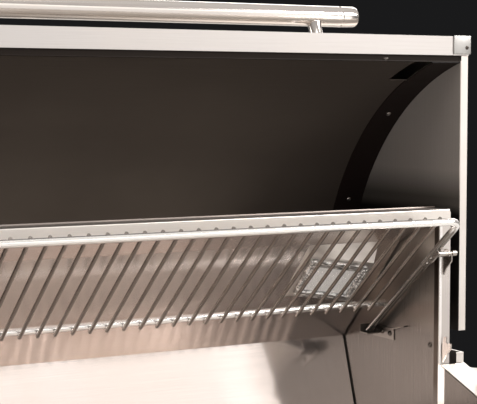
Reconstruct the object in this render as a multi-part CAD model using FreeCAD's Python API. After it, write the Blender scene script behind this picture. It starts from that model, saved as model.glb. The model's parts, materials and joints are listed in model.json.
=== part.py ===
# Built-in pellet smoker grill: a firebox with a fixed rear housing, a double-wall
# roll-up hood, a tilting wire rack, cooking grates and a pellet hopper on the left.
# Frame: X to the right, Y to the back, Z up, millimetres. The origin is on the bottom
# of the middle base rail, at the middle of the grill's width; Y = 0 lies just behind
# the front lip of the rear housing. The hood is modelled open and the rack is modelled raised.
import FreeCAD, Part
import math
import os

from FreeCAD import Rotation, Vector

os.makedirs("parts", exist_ok=True)

# ---- driving dimensions -----------------------------------------------------------
SHEET = 1.5               # stainless sheet thickness
CHAMBER_HALF = 423.5      # inner face of each chamber side wall
FLANGE_HALF = 438.5       # outer edge of the rear housing and its front flanges
OUTER_HALF = 460.0        # outer face of the body side panels
FRONT_PLANE = -10.0       # front faces of the housing and of the open hood
BODY_FRONT = -300.0       # outer face of the front fascia
BODY_BACK = 262.0         # outer face of the back panel
RAIL_HEIGHT = 12.0        # base rails that the grill stands on
TOWER_TOP = 295.0         # top of the body side panels beside the rear housing
RIM_START = 283.0         # height of the sloping rim at the front plane
RIM_SLOPE = math.tan(math.radians(20.0))

ROOF_TOP = 470.5          # rear housing roof
ROOF_BACK = 22.0
STRIP_HEIGHT = 16.0       # bright downturned lip of the roof
FLANGE_BEND = 2.8         # outside radius where each side wall turns into its flange
ROOF_CORNER = 28.0        # rounded back corners of the roof, seen from above
LIP_CORNER = 5.0          # rounded ends of the roof's lip, seen from the front
PANEL_GAP = 2.5           # open joint between the back panels and the side walls
FOLD_TOP = (69.5, 427.5)  # Y, Z of the fold above the slanted panel
FOLD_LOW = (200.0, 289.0)
WALL_LOW = (156.0, 149.3)
FLOOR_TOP = 58.0
CHAMBER_FRONT = -262.0    # inner face of the chamber's front wall

PIVOT = (22.0, 343.0)     # hood hinge axis, Y and Z
PIN_RADIUS = 5.0
RUNNING_GAP = 0.05
HOOD_CENTRE = (-100.8, 322.7)
LINER_RADIUS = 336.9      # inner face of the dark liner
SKIN_RADIUS = 366.0       # outer face of the hood skin
HOOD_BOTTOM = 322.0
HOOD_INNER = 451.0        # inner faces of the hood side panels
HOOD_OUTER = 462.0
LIP_BOTTOM = 654.6
STRAP_WIDTH = 41.0        # riveted strap along each end of the liner
LINER_SHEET = 1.2
VENT_LEFT = 386.0
VENT_RIGHT = 413.5
VENT_BACK = 47.5

RACK_TILT = math.radians(39.2)
RACK_ORIGIN = (-60.7, 460.0)   # centre of the rack's front rail
RAIL_RADIUS = 4.3
WIRE_RADIUS = 2.2
WIRE_PITCH = 21.0
WIRE_COUNT = 38
WIRE_END = 193.5          # along the rack plane, from the front rail's centre
FAR_RAIL_RADIUS = 4.3
SIDE_BAR_X = 414.0
SIDE_BAR_END = 238.0
INNER_BAR_X = 407.3       # thinner bar welded inside each side bar
INNER_BAR_RADIUS = 2.6
CORNER_RADIUS = 13.0
PIN_ALONG = 55.8          # locating pin, along and below the rack plane
PIN_BELOW = -7.9
PIN_END = 437.0
HOOK_X = 426.6
HOOK_T = 2.0
HOOK_DROP = 106.0         # from the upper hooks down to the lower ones

GRATE_TOP = 184.0
GRATE_FRONT = -256.0
GRATE_BACK = 158.0
GRATE_RODS = 16
GRATE_WIDTH = 277.0
GRATE_PITCH = 280.0

HOPPER_LEFT = -696.0
HOPPER_RIGHT = -470.0
HOPPER_FRONT = -210.0
HOPPER_BACK = 150.0
HOPPER_TOP = 420.0
AUGER_Y = -60.0
AUGER_Z = 84.0
AUGER_TUBE_RADIUS = 24.0

DRAWER_HALF = 150.0
DRAWER_LOW = 20.0
DRAWER_HIGH = 50.0


# ---- shape helpers ----------------------------------------------------------------
def box(x0, x1, y0, y1, z0, z1):
    return Part.makeBox(x1 - x0, y1 - y0, z1 - z0, Vector(x0, y0, z0))


def prism_yz(points, x0, x1):
    """A Y-Z outline extruded from x0 to x1."""
    corners = [Vector(x0, y, z) for y, z in points]
    face = Part.Face(Part.makePolygon(corners + corners[:1]))
    return face.extrude(Vector(x1 - x0, 0, 0))


def bent_sheet(path, thickness, x0, x1):
    """A sheet along a Y-Z path, with mitred bends; the thickness lies on its left."""
    offset = []
    for i, (y, z) in enumerate(path):
        normals = []
        for a, b in ((i - 1, i), (i, i + 1)):
            if a >= 0 and b < len(path):
                dy = path[b][0] - path[a][0]
                dz = path[b][1] - path[a][1]
                length = math.hypot(dy, dz)
                normals.append((-dz / length, dy / length))
        ny = sum(n[0] for n in normals) / len(normals)
        nz = sum(n[1] for n in normals) / len(normals)
        scale = thickness / (ny * ny + nz * nz)
        offset.append((y + ny * scale, z + nz * scale))
    return prism_yz(list(path) + offset[::-1], x0, x1)


def arc_shell(centre, r0, r1, start, end, x0, x1):
    """Part of a tube about an axis along X; angles in degrees from +Y towards +Z."""
    def at(radius, angle):
        a = math.radians(angle)
        return Vector(x0, centre[0] + radius * math.cos(a), centre[1] + radius * math.sin(a))
    middle = (start + end) / 2
    outer = Part.Arc(at(r1, start), at(r1, middle), at(r1, end)).toShape()
    inner = Part.Arc(at(r0, end), at(r0, middle), at(r0, start)).toShape()
    side_a = Part.makeLine(at(r1, end), at(r0, end))
    side_b = Part.makeLine(at(r0, start), at(r1, start))
    face = Part.Face(Part.Wire([outer, side_a, inner, side_b]))
    return face.extrude(Vector(x1 - x0, 0, 0))


def rod(start, end, radius):
    a = Vector(*start)
    b = Vector(*end)
    return Part.makeCylinder(radius, (b - a).Length, a, b - a)


def tube(start, end, outer, inner):
    return rod(start, end, outer).cut(rod(start, end, inner))


def auger_bore(x0, x1):
    return rod((x0, AUGER_Y, AUGER_Z), (x1, AUGER_Y, AUGER_Z), AUGER_TUBE_RADIUS)


def corner_cutter(corner, inward, radius, length):
    """Cuts a sharp outside corner to a radius, along length; inward points from it to the centre."""
    steps = [Vector(inward.x, 0, 0), Vector(0, inward.y, 0), Vector(0, 0, inward.z)]
    first, second = [step for step in steps if step.Length > 0]
    centre = corner + (first + second) * radius
    past = corner - (first + second)
    ring = [past, past + first * (radius + 1), centre, past + second * (radius + 1)]
    block = Part.Face(Part.makePolygon(ring + ring[:1])).extrude(length)
    return block.cut(Part.makeCylinder(radius, length.Length, centre, length))


def mirrored(shape):
    """The same piece on the other side of the middle plane."""
    return shape.mirror(Vector(0, 0, 0), Vector(1, 0, 0))


def fused(shapes):
    result = shapes[0].multiFuse(shapes[1:]) if len(shapes) > 1 else shapes[0]
    return result.removeSplitter()


def save(name, *shapes):
    """Write one sub-part; several shapes stay separate solids in one node."""
    shape = shapes[0] if len(shapes) == 1 else Part.Compound(list(shapes))
    shape.exportStep("parts/" + name + ".step")


def save_both(name, shape):
    """One node with the piece and its mirror image as separate solids."""
    save(name, shape, mirrored(shape))


def rim_height(y):
    return RIM_START + RIM_SLOPE * (y - FRONT_PLANE)


def rack_point(along, above):
    """Y and Z of a point given along and above the rack plane."""
    y = RACK_ORIGIN[0] + along * math.cos(RACK_TILT) + above * math.sin(RACK_TILT)
    z = RACK_ORIGIN[1] - along * math.sin(RACK_TILT) + above * math.cos(RACK_TILT)
    return y, z


# ---- firebox and rear housing -----------------------------------------------------
def chamber_side():
    """Inner side wall with its outturned front flange and the two hook slots."""
    lip_low = ROOF_TOP - STRIP_HEIGHT
    behind = FRONT_PLANE + SHEET
    wall = prism_yz([(FRONT_PLANE, rim_height(FRONT_PLANE) - 1), (FRONT_PLANE, lip_low),
                     (behind, lip_low), (behind, ROOF_TOP - SHEET),
                     (ROOF_BACK - SHEET, ROOF_TOP - SHEET), (78.0, 434.5), (209.5, 295.0),
                     (163.0, 149.0), (163.0, FLOOR_TOP), (CHAMBER_FRONT, FLOOR_TOP),
                     (CHAMBER_FRONT, rim_height(CHAMBER_FRONT) - 1)],
                    CHAMBER_HALF, CHAMBER_HALF + SHEET)
    wall = wall.cut(hood_pin_hole(CHAMBER_HALF - 1, CHAMBER_HALF + 3))
    flange = box(CHAMBER_HALF + SHEET, FLANGE_HALF, FRONT_PLANE, FRONT_PLANE + SHEET,
                 rim_height(FRONT_PLANE) - 1, lip_low)
    pin_z = rack_point(PIN_ALONG, PIN_BELOW)[1]
    slots = [box(HOOK_X - 0.4, HOOK_X + HOOK_T + 0.4, FRONT_PLANE - 1, FRONT_PLANE + 3, low, low + 15.6)
             for low in (pin_z - 20.4, pin_z - HOOK_DROP - 20.4)]
    bend = corner_cutter(Vector(CHAMBER_HALF, FRONT_PLANE, rim_height(FRONT_PLANE)),
                         Vector(1, 1, 0), FLANGE_BEND, Vector(0, 0, lip_low - rim_height(FRONT_PLANE)))
    return fused([wall, flange]).cut(Part.Compound(slots + [bend]))


def hood_pin_hole(x0, x1):
    return rod((x0, PIVOT[0], PIVOT[1]), (x1, PIVOT[0], PIVOT[1]), PIN_RADIUS)


def housing_cover():
    """Outer skin of the rear housing's side, which carries the hood pin."""
    plate = prism_yz([(FRONT_PLANE + SHEET, TOWER_TOP), (FRONT_PLANE + SHEET, ROOF_TOP - SHEET),
                      (ROOF_BACK - SHEET, ROOF_TOP - SHEET), (78.0, 434.5), (209.5, TOWER_TOP)],
                     FLANGE_HALF - SHEET, FLANGE_HALF)
    return plate.cut(hood_pin_hole(FLANGE_HALF - 5, FLANGE_HALF + 5))


def housing_roof():
    """Roof plate with the bright downturned lip across the front."""
    bottom = ROOF_TOP - STRIP_HEIGHT
    lip = box(-FLANGE_HALF, FLANGE_HALF, FRONT_PLANE, FRONT_PLANE + SHEET, bottom, ROOF_TOP)
    top = box(-FLANGE_HALF, FLANGE_HALF, FRONT_PLANE, ROOF_BACK, ROOF_TOP - SHEET, ROOF_TOP)
    front_bend = corner_cutter(Vector(-FLANGE_HALF, FRONT_PLANE, ROOF_TOP), Vector(0, 1, -1),
                               SHEET - 0.2, Vector(2 * FLANGE_HALF, 0, 0))
    lip_end = corner_cutter(Vector(FLANGE_HALF, FRONT_PLANE - 1, ROOF_TOP), Vector(-1, 0, -1),
                            LIP_CORNER, Vector(0, SHEET + 1, 0))
    back_corner = corner_cutter(Vector(FLANGE_HALF, ROOF_BACK, ROOF_TOP - 3), Vector(-1, -1, 0),
                                ROOF_CORNER, Vector(0, 0, 6))
    tools = [front_bend, lip_end, mirrored(lip_end), back_corner, mirrored(back_corner)]
    return fused([lip, top]).cut(Part.Compound(tools))


def sheet_between(start, end, half):
    return bent_sheet([start, end], SHEET, -half, half)


def outer_side():
    """Body side panel with the inturned strip at the front of its rear half."""
    front = BODY_FRONT + SHEET
    plate = prism_yz([(FRONT_PLANE, TOWER_TOP), (BODY_BACK - SHEET, TOWER_TOP),
                      (BODY_BACK - SHEET, RAIL_HEIGHT), (front, RAIL_HEIGHT),
                      (front, rim_height(front)), (FRONT_PLANE, rim_height(FRONT_PLANE))],
                     OUTER_HALF - SHEET, OUTER_HALF)
    strip = box(449.3, OUTER_HALF - SHEET, FRONT_PLANE, FRONT_PLANE + SHEET, 70.0, TOWER_TOP)
    return fused([plate, strip])


def rim_plate():
    """Sloping cover between the chamber wall and the body side panel."""
    y0 = CHAMBER_FRONT
    y1 = FRONT_PLANE - 2.0
    return prism_yz([(y0, rim_height(y0)), (y1, rim_height(y1)), (y1, rim_height(y1) - SHEET),
                     (y0, rim_height(y0) - SHEET)], CHAMBER_HALF + SHEET, OUTER_HALF - SHEET)


def rim_seal(y0, y1, x0, x1, height):
    """Straight soft bead on the rim, just under the edge of the closed hood."""
    return prism_yz([(y0, rim_height(y0)), (y1, rim_height(y1)), (y1, rim_height(y1) + height),
                     (y0, rim_height(y0) + height)], x0, x1)


def rim_seals():
    side = rim_seal(CHAMBER_FRONT + 10, FRONT_PLANE - 42, 452.5, 458.0, 13.0)
    return side, mirrored(side), rim_seal(-276.0, -266.0, -436.0, 436.0, 11.0)


def front_rim():
    y0 = BODY_FRONT + SHEET
    y1 = CHAMBER_FRONT
    return prism_yz([(y0, rim_height(y0)), (y1, rim_height(y1)), (y1, rim_height(y1) - SHEET),
                     (y0, rim_height(y0) - SHEET)], -OUTER_HALF + SHEET, OUTER_HALF - SHEET)


def front_fascia():
    """Front panel of four flat pieces around the drawer opening."""
    y0 = BODY_FRONT
    y1 = BODY_FRONT + SHEET
    gap = 2.0
    top = rim_height(y1)
    return [box(-OUTER_HALF, OUTER_HALF, y0, y1, DRAWER_HIGH + gap, top),
            box(-OUTER_HALF, OUTER_HALF, y0, y1, RAIL_HEIGHT, DRAWER_LOW - gap),
            box(-OUTER_HALF, -DRAWER_HALF - gap, y0, y1, DRAWER_LOW - gap, DRAWER_HIGH + gap),
            box(DRAWER_HALF + gap, OUTER_HALF, y0, y1, DRAWER_LOW - gap, DRAWER_HIGH + gap)]


def back_panel():
    plate = box(-OUTER_HALF, OUTER_HALF, BODY_BACK - SHEET, BODY_BACK, RAIL_HEIGHT, TOWER_TOP)
    louvres = [box(-300 + 60 * i, -256 + 60 * i, BODY_BACK - 3, BODY_BACK + 1, z, z + 5)
               for i in range(11) for z in (205.0, 220.0, 235.0)]
    return plate.cut(Part.Compound(louvres))


def rear_cover():
    """Outer skin behind the housing and the flat deck behind it."""
    slope = bent_sheet([(ROOF_BACK, ROOF_TOP), (80.0, 435.8), (212.0, TOWER_TOP)], SHEET,
                       -FLANGE_HALF, FLANGE_HALF)
    deck = box(-OUTER_HALF + SHEET, OUTER_HALF - SHEET, 214.0, BODY_BACK - SHEET,
               TOWER_TOP - SHEET, TOWER_TOP)
    return slope, deck


def base_plate():
    return box(-OUTER_HALF + SHEET, OUTER_HALF - SHEET, BODY_FRONT + SHEET, BODY_BACK - SHEET,
               RAIL_HEIGHT, RAIL_HEIGHT + SHEET)


def base_rails():
    rails = [box(x - 15, x + 15, BODY_FRONT + 12, BODY_BACK - 12, 0, RAIL_HEIGHT)
             for x in (-430.0, 0.0, 430.0)]
    rails.append(box(-660, -630, HOPPER_FRONT + 12, HOPPER_BACK - 12, 0, RAIL_HEIGHT))
    return rails


def firebox():
    bore = auger_bore(HOPPER_LEFT, 0)
    save("chamber_sides", chamber_side(), mirrored(chamber_side()).cut(bore))
    save_both("housing_side_covers", housing_cover())
    save("housing_roof", housing_roof())
    facet_start = (FRONT_PLANE + SHEET, ROOF_TOP - STRIP_HEIGHT)
    half = CHAMBER_HALF - PANEL_GAP
    save("slanted_back_panel", sheet_between(FOLD_TOP, FOLD_LOW, half),
         sheet_between(facet_start, FOLD_TOP, half))
    save("lower_back_wall", sheet_between(FOLD_LOW, WALL_LOW, half),
         box(-half, half, WALL_LOW[0], WALL_LOW[0] + SHEET, FLOOR_TOP, WALL_LOW[1]))
    save("rear_cover", *rear_cover())
    floor = box(-CHAMBER_HALF, CHAMBER_HALF, CHAMBER_FRONT, WALL_LOW[0] + SHEET,
                FLOOR_TOP - SHEET, FLOOR_TOP)
    front = box(-CHAMBER_HALF, CHAMBER_HALF, CHAMBER_FRONT - SHEET, CHAMBER_FRONT,
                FLOOR_TOP - SHEET, rim_height(CHAMBER_FRONT) - 2 * SHEET)
    save("chamber_floor_and_front", floor, front)
    save("body_sides", outer_side(), mirrored(outer_side()).cut(bore))
    save("rim_covers", rim_plate(), mirrored(rim_plate()), front_rim())
    save("rim_seals", *rim_seals())
    save("front_fascia", *front_fascia())
    save("back_panel", back_panel())
    save("base_plate", base_plate())
    save("base_rails", *base_rails())


# ---- lights -----------------------------------------------------------------------
PANEL_DOWN = Vector(0, FOLD_LOW[0] - FOLD_TOP[0], FOLD_LOW[1] - FOLD_TOP[1]).normalize()
PANEL_OUT = Vector(0, PANEL_DOWN.z, -PANEL_DOWN.y)
LENS_LEFT = 297.0         # X of the lens edge nearest the middle
LENS_LOW_RAISE = 4.0      # how far each lens edge stands off the panel
LENS_HIGH_RAISE = 20.0
LENS_WIDTH = 80.0
LENS_START = 21.0         # along the panel, from the top fold
LENS_HEIGHT = 66.0


def on_panel(x, along, raised):
    base = Vector(x, FOLD_TOP[0], FOLD_TOP[1])
    return base + PANEL_DOWN * along + PANEL_OUT * raised


def lens_axes():
    across = on_panel(LENS_LEFT + 78.4, 0, LENS_HIGH_RAISE) - on_panel(LENS_LEFT, 0, LENS_LOW_RAISE)
    across.normalize()
    return across, PANEL_DOWN


def lens_block(margin, low, high):
    """A block in the lens's own frame, from low to high along its outward normal."""
    across, down = lens_axes()
    normal = PANEL_OUT - across * PANEL_OUT.dot(across)
    normal.normalize()
    start = on_panel(LENS_LEFT, LENS_START, LENS_LOW_RAISE)
    corners = []
    for a, d in ((-margin, -margin), (LENS_WIDTH + margin, -margin),
                 (LENS_WIDTH + margin, LENS_HEIGHT + margin), (-margin, LENS_HEIGHT + margin)):
        corners.append(start + across * a + down * d + normal * low)
    face = Part.Face(Part.makePolygon(corners + corners[:1]))
    return face.extrude(normal * (high - low))


def light_housing():
    """Wedge that aims the lamp towards the middle of the grate."""
    base = [on_panel(LENS_LEFT - 8, 1.0, 0), on_panel(LENS_LEFT + 92, 1.0, 0),
            on_panel(LENS_LEFT + 92, 98.0, 0), on_panel(LENS_LEFT - 8, 98.0, 0)]
    across, down = lens_axes()
    start = on_panel(LENS_LEFT, LENS_START, LENS_LOW_RAISE)
    top = [start + across * a + down * d for a, d in
           ((-4, -4), (LENS_WIDTH + 4, -4), (LENS_WIDTH + 4, LENS_HEIGHT + 4), (-4, LENS_HEIGHT + 4))]
    wires = [Part.makePolygon(ring + ring[:1]) for ring in (base, top)]
    solid = Part.makeLoft(wires, True, True)
    return solid.cut(lens_block(-7.0, -40.0, 5.0)).cut(behind_panel())


def behind_panel():
    far = 60.0
    corners = [on_panel(x, a, -0.01) for x, a in ((200, -40), (460, -40), (460, 150), (200, 150))]
    face = Part.Face(Part.makePolygon(corners + corners[:1]))
    return face.extrude(PANEL_OUT * -far)


def lamp_bulb():
    """Small lamp capsule lying across the housing, behind the lens."""
    a = on_panel(LENS_LEFT + 44, LENS_START + 33, 6.5)
    b = on_panel(LENS_LEFT + 66, LENS_START + 33, 6.5)
    return Part.makeCylinder(3.5, (b - a).Length, a, b - a)


def lights():
    save_both("light_housings", light_housing())
    save_both("light_lenses", lens_block(0.0, 0.2, 6.0))
    save_both("lamp_bulbs", lamp_bulb())


# ---- hood -------------------------------------------------------------------------
def hood_side_outline(radius):
    """Corner points and arc of a hood side, clockwise from the front bottom corner."""
    reach = math.sqrt(radius ** 2 - (FRONT_PLANE - HOOD_CENTRE[0]) ** 2)
    top = (FRONT_PLANE, HOOD_CENTRE[1] + reach)
    low = math.asin((HOOD_BOTTOM - HOOD_CENTRE[1]) / radius)
    back = (HOOD_CENTRE[0] + radius * math.cos(low), HOOD_BOTTOM)
    middle_angle = (math.atan2(reach, FRONT_PLANE - HOOD_CENTRE[0]) + low) / 2
    middle = (HOOD_CENTRE[0] + radius * math.cos(middle_angle),
              HOOD_CENTRE[1] + radius * math.sin(middle_angle))
    return top, middle, back


def hood_side_plate(radius, x0, x1):
    top, middle, back = hood_side_outline(radius)
    corner = Vector(x0, FRONT_PLANE, HOOD_BOTTOM)
    arc = Part.Arc(*[Vector(x0, y, z) for y, z in (top, middle, back)]).toShape()
    edges = [Part.makeLine(corner, Vector(x0, *top)), arc,
             Part.makeLine(Vector(x0, *back), corner)]
    plate = Part.Face(Part.Wire(edges)).extrude(Vector(x1 - x0, 0, 0))
    bore = rod((x0 - 1, PIVOT[0], PIVOT[1]), (x1 + 1, PIVOT[0], PIVOT[1]), PIN_RADIUS + RUNNING_GAP)
    return plate.cut(bore)


def hood_angle(radius, y):
    return math.degrees(math.acos((y - HOOD_CENTRE[0]) / radius))


def hood_arc(r0, r1, y_front, low_z, x0, x1):
    """Curved hood sheet from the lip down to a height low_z at the back."""
    low = math.degrees(math.asin((low_z - HOOD_CENTRE[1]) / r1))
    return arc_shell(HOOD_CENTRE, r0, r1, low, hood_angle(r1, y_front), x0, x1)


def hood_liner():
    """Dark inner sheet, turned up at the front to meet the lip, with a vent near each end."""
    liner = hood_arc(LINER_RADIUS, LINER_RADIUS + LINER_SHEET, FRONT_PLANE + SHEET, HOOD_BOTTOM + 2,
                     -HOOD_INNER, HOOD_INNER)
    front = FRONT_PLANE + SHEET
    low = HOOD_CENTRE[1] + math.sqrt((LINER_RADIUS + 0.6) ** 2 - (front - HOOD_CENTRE[0]) ** 2)
    turned_up = box(-HOOD_INNER, HOOD_INNER, front, front + LINER_SHEET, low, LIP_BOTTOM)
    return fused([liner, turned_up]).cut(vent_cutter()).cut(mirrored(vent_cutter()))


def vent_cutter():
    return box(VENT_LEFT, VENT_RIGHT, FRONT_PLANE + SHEET + LINER_SHEET, VENT_BACK, 600.0, 660.0)


def liner_strap():
    """Strap along the end of the liner, notched around the vent."""
    strap = hood_arc(LINER_RADIUS - 1.0, LINER_RADIUS, FRONT_PLANE + SHEET, HOOD_BOTTOM + 3,
                     HOOD_INNER - STRAP_WIDTH, HOOD_INNER)
    return strap.cut(vent_cutter())


def hood_side_frame():
    """Front edge strip that joins the inner and outer side plates."""
    return box(HOOD_INNER + 1.2, HOOD_OUTER - 1.2, FRONT_PLANE, FRONT_PLANE + SHEET,
               HOOD_BOTTOM, LIP_BOTTOM - 0.4)


def hood_lip():
    """Bright front lip with a short return towards the liner."""
    top = hood_side_outline(SKIN_RADIUS)[0][1]
    face = box(-HOOD_OUTER, HOOD_OUTER, FRONT_PLANE - SHEET, FRONT_PLANE, LIP_BOTTOM, top)
    back_turn = box(-HOOD_INNER, HOOD_INNER, FRONT_PLANE, FRONT_PLANE + 10, LIP_BOTTOM, LIP_BOTTOM + SHEET)
    return fused([face, back_turn])


def corner_clip():
    top = hood_side_outline(SKIN_RADIUS)[0][1]
    return box(439.0, HOOD_OUTER + 2.0, FRONT_PLANE - SHEET - 2.0, FRONT_PLANE - SHEET, LIP_BOTTOM + 1.4,
               top + 1.0)


def rivet(x, angle, radius):
    """Low rivet head on the inside of the liner or its strap."""
    a = math.radians(angle)
    centre = Vector(x, HOOD_CENTRE[0] + radius * math.cos(a), HOOD_CENTRE[1] + radius * math.sin(a))
    inward = Vector(0, -math.cos(a), -math.sin(a))
    return Part.makeCylinder(3.2, 1.6, centre, inward)


def handle():
    """Round bar handle, with its posts, on the skin near the lip."""
    angle = math.radians(66.0)
    out = Vector(0, math.cos(angle), math.sin(angle))
    centre = Vector(0, HOOD_CENTRE[0], HOOD_CENTRE[1])
    bar_at = centre + out * (SKIN_RADIUS + 48.0)
    bar = Part.makeCylinder(12.5, 700.0, bar_at + Vector(-350, 0, 0), Vector(1, 0, 0))
    posts = []
    for x in (-290.0, 290.0):
        foot = centre + out * SKIN_RADIUS + Vector(x, 0, 0)
        post = Part.makeCylinder(8.0, 48.0, foot, out)
        posts.append(post.cut(bar).cut(arc_shell(HOOD_CENTRE, 300, SKIN_RADIUS, 60, 72, x - 20, x + 20)))
    return bar, posts


def thermometer():
    """Gauge on the skin: bezel, dial and a balanced needle."""
    angle = math.radians(38.0)
    out = Vector(0, math.cos(angle), math.sin(angle))
    face = Vector(0, HOOD_CENTRE[0], HOOD_CENTRE[1]) + out * SKIN_RADIUS
    shell = arc_shell(HOOD_CENTRE, 300, SKIN_RADIUS, 20, 60, -60, 60)
    ring = Part.makeCylinder(38.0, 16.0, face - out * 4, out)
    ring = ring.cut(Part.makeCylinder(33.0, 20.0, face - out * 5, out)).cut(shell)
    dial = Part.makeCylinder(33.0, 3.0, face + out * 0.5, out).cut(shell)
    needle = Part.makeBox(2.4, 50.0, 1.0, Vector(-1.2, -25.0, 0))
    needle = needle.fuse(Part.makeCylinder(3.5, 2.0))
    needle.Placement = FreeCAD.Placement(face + out * 5.0, Rotation(Vector(0, 0, 1), out))
    glass = Part.makeCylinder(33.0, 1.6, face + out * 9.0, out)
    return fused([ring, dial]), needle, glass


def hood_outer_side():
    """Outer side plate with the bright inturned strip along its front edge."""
    return fused([hood_side_plate(SKIN_RADIUS - 1.5, HOOD_OUTER - 1.2, HOOD_OUTER), hood_side_frame()])


def hood():
    save_both("hood_inner_sides", hood_side_plate(LINER_RADIUS + 1.0, HOOD_INNER, HOOD_INNER + 1.2))
    save_both("hood_outer_sides", hood_outer_side())
    save("hood_skin", hood_arc(SKIN_RADIUS - 1.5, SKIN_RADIUS, FRONT_PLANE + 0.6, HOOD_BOTTOM,
                               -HOOD_OUTER, HOOD_OUTER))
    save("hood_liner", hood_liner())
    save_both("liner_straps", liner_strap())
    save("hood_lip", hood_lip())
    save_both("corner_clips", corner_clip())
    save("hood_rear_panel", box(-HOOD_INNER, HOOD_INNER, 197.0, 262.0, HOOD_BOTTOM, HOOD_BOTTOM + SHEET))
    on_strap = LINER_RADIUS - 1.05
    on_liner = LINER_RADIUS - 0.05
    rivets = [rivet(side * 430.0, angle, on_strap) for side in (-1, 1) for angle in (8.0, 26.0, 51.0)]
    rivets += [rivet(336.0, 76.0, on_liner), rivet(-336.0, 76.0, on_liner)]
    save("liner_rivets", *rivets)
    bar, posts = handle()
    save("hood_handle", bar, *posts)
    case, needle, glass = thermometer()
    save("gauge_case", case)
    save("gauge_needle", needle)
    save("gauge_glass", glass)


def hinge_pins():
    """Fixed shoulder pins that the hood turns on."""
    pins = []
    for side in (-1, 1):
        y, z = PIVOT
        shaft = rod((side * CHAMBER_HALF, y, z), (side * (HOOD_OUTER + 2.5), y, z), PIN_RADIUS)
        collar = tube((side * FLANGE_HALF, y, z), (side * (HOOD_INNER - 1.0), y, z), 9.0, PIN_RADIUS)
        head = rod((side * (HOOD_OUTER + 0.5), y, z), (side * (HOOD_OUTER + 4.5), y, z), 9.0)
        pins.append(fused([shaft, collar, head]))
    return pins


# ---- tilting wire rack and its supports -------------------------------------------
FAR_RAIL_ABOVE = RAIL_RADIUS + FAR_RAIL_RADIUS - 0.4


def rack_wire(x):
    """A wire welded over the front rail and under the far rail."""
    near = rack_point(0.0, RAIL_RADIUS + WIRE_RADIUS - 0.5)
    far = rack_point(WIRE_END, FAR_RAIL_ABOVE - FAR_RAIL_RADIUS - WIRE_RADIUS + 0.5)
    return rod((x, *near), (x, *far), WIRE_RADIUS)


def rack_frame():
    """Front rail and side bars bent from one rod, with a thinner bar welded inside each side."""
    c = CORNER_RADIUS
    near = rack_point(0, 0)
    bend = rack_point(c, 0)
    end = rack_point(SIDE_BAR_END, 0)
    mid = rack_point(c * (1 - math.sqrt(0.5)), 0)
    pieces = [rod((-(SIDE_BAR_X - c), *near), (SIDE_BAR_X - c, *near), RAIL_RADIUS)]
    for side in (-1, 1):
        start = Vector(side * (SIDE_BAR_X - c), *near)
        middle = Vector(side * (SIDE_BAR_X - c * (1 - math.sqrt(0.5))), *mid)
        stop = Vector(side * SIDE_BAR_X, *bend)
        path = Part.Wire([Part.Arc(start, middle, stop).toShape()])
        section = Part.Wire([Part.makeCircle(RAIL_RADIUS, start, Vector(side, 0, 0))])
        pieces.append(path.makePipeShell([section], True, False))
        pieces.append(rod((side * SIDE_BAR_X, *bend), (side * SIDE_BAR_X, *end), RAIL_RADIUS))
        pieces.append(rod((side * INNER_BAR_X, *rack_point(8.0, -2.8)),
                          (side * INNER_BAR_X, *rack_point(SIDE_BAR_END - 2.0, -2.8)), INNER_BAR_RADIUS))
    return fused(pieces)


def rack_tab():
    """Perforated tab under an inner bar, with the locating pin and its knob."""
    outline = [rack_point(49, -5.0), rack_point(87, -5.0), rack_point(83, -11.6), rack_point(49, -12.8)]
    x0 = INNER_BAR_X - 1.0
    plate = prism_yz(outline, x0, x0 + 2.0)
    for along in (65.0, 75.0):
        y, z = rack_point(along, -8.2)
        plate = plate.cut(rod((x0 - 1, y, z), (x0 + 3, y, z), 2.0))
    y, z = rack_point(PIN_ALONG, PIN_BELOW)
    shank = rod((x0 + 2.0, y, z), (HOOK_X - 1.0, y, z), 3.6)
    pin = rod((HOOK_X - 1.0, y, z), (PIN_END - 6.0, y, z), 2.4)
    knob = rod((PIN_END - 6.0, y, z), (PIN_END, y, z), 3.4)
    return fused([plate, shank, pin, knob])


def wire_rack():
    half = (WIRE_COUNT - 1) * WIRE_PITCH / 2
    far = rack_point(WIRE_END - 4.0, FAR_RAIL_ABOVE)
    save("rack_frame", rack_frame())
    wires = [rack_wire(-half + i * WIRE_PITCH) for i in range(WIRE_COUNT)]
    cross = rod((-SIDE_BAR_X + 1, *far), (SIDE_BAR_X - 1, *far), FAR_RAIL_RADIUS)
    save("rack_wires", fused(wires + [cross]))
    save_both("rack_tabs", rack_tab())


def rack_hook(pin_y, pin_z):
    """Leaf-shaped plate through a flange slot, with an open notch for the rack pin."""
    y = pin_y
    z = pin_z
    outline = [(-7.0, z - 19.5), (-7.0, z - 6.5), (-12.0, z - 5.5), (-14.0, z + 4.4), (y + 3.6, z + 5.0),
               (y + 3.6, z - 1.5), (y + 1.5, z - 3.4), (y - 1.5, z - 3.4), (y - 3.6, z - 2.0),
               (y - 5.6, z - 2.6), (y - 5.2, z - 9.0), (-18.0, z - 18.0), (-12.5, z - 27.0),
               (-10.0, z - 19.5)]
    return prism_yz(outline, HOOK_X, HOOK_X + HOOK_T)


def rear_bracket(drop):
    """Angle bracket on the side wall that catches the end of a side bar."""
    y, z = rack_point(SIDE_BAR_END, -RAIL_RADIUS)
    z -= drop
    wall = CHAMBER_HALF
    leaf = box(wall - SHEET, wall, 84.0, y + 9.0, z - 7.0, z + 7.5)
    shelf = box(wall - 22.0, wall - SHEET, y - 8.0, y + 9.0, z - 2.0, z - 0.5)
    stop = box(wall - 22.0, wall - SHEET, y + 7.5, y + 9.0, z - 0.5, z + 9.0)
    lip = prism_yz([(56.0, z + 13.5), (84.5, z + 6.0), (84.5, z + 7.5), (56.0, z + 15.0)],
                   wall - 6.0, wall - 1.0)
    return fused([leaf, shelf, stop, lip])


def screw_head(x, y, z, direction):
    return Part.makeCylinder(3.2, 1.8, Vector(x, y, z), Vector(direction, 0, 0))


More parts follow.
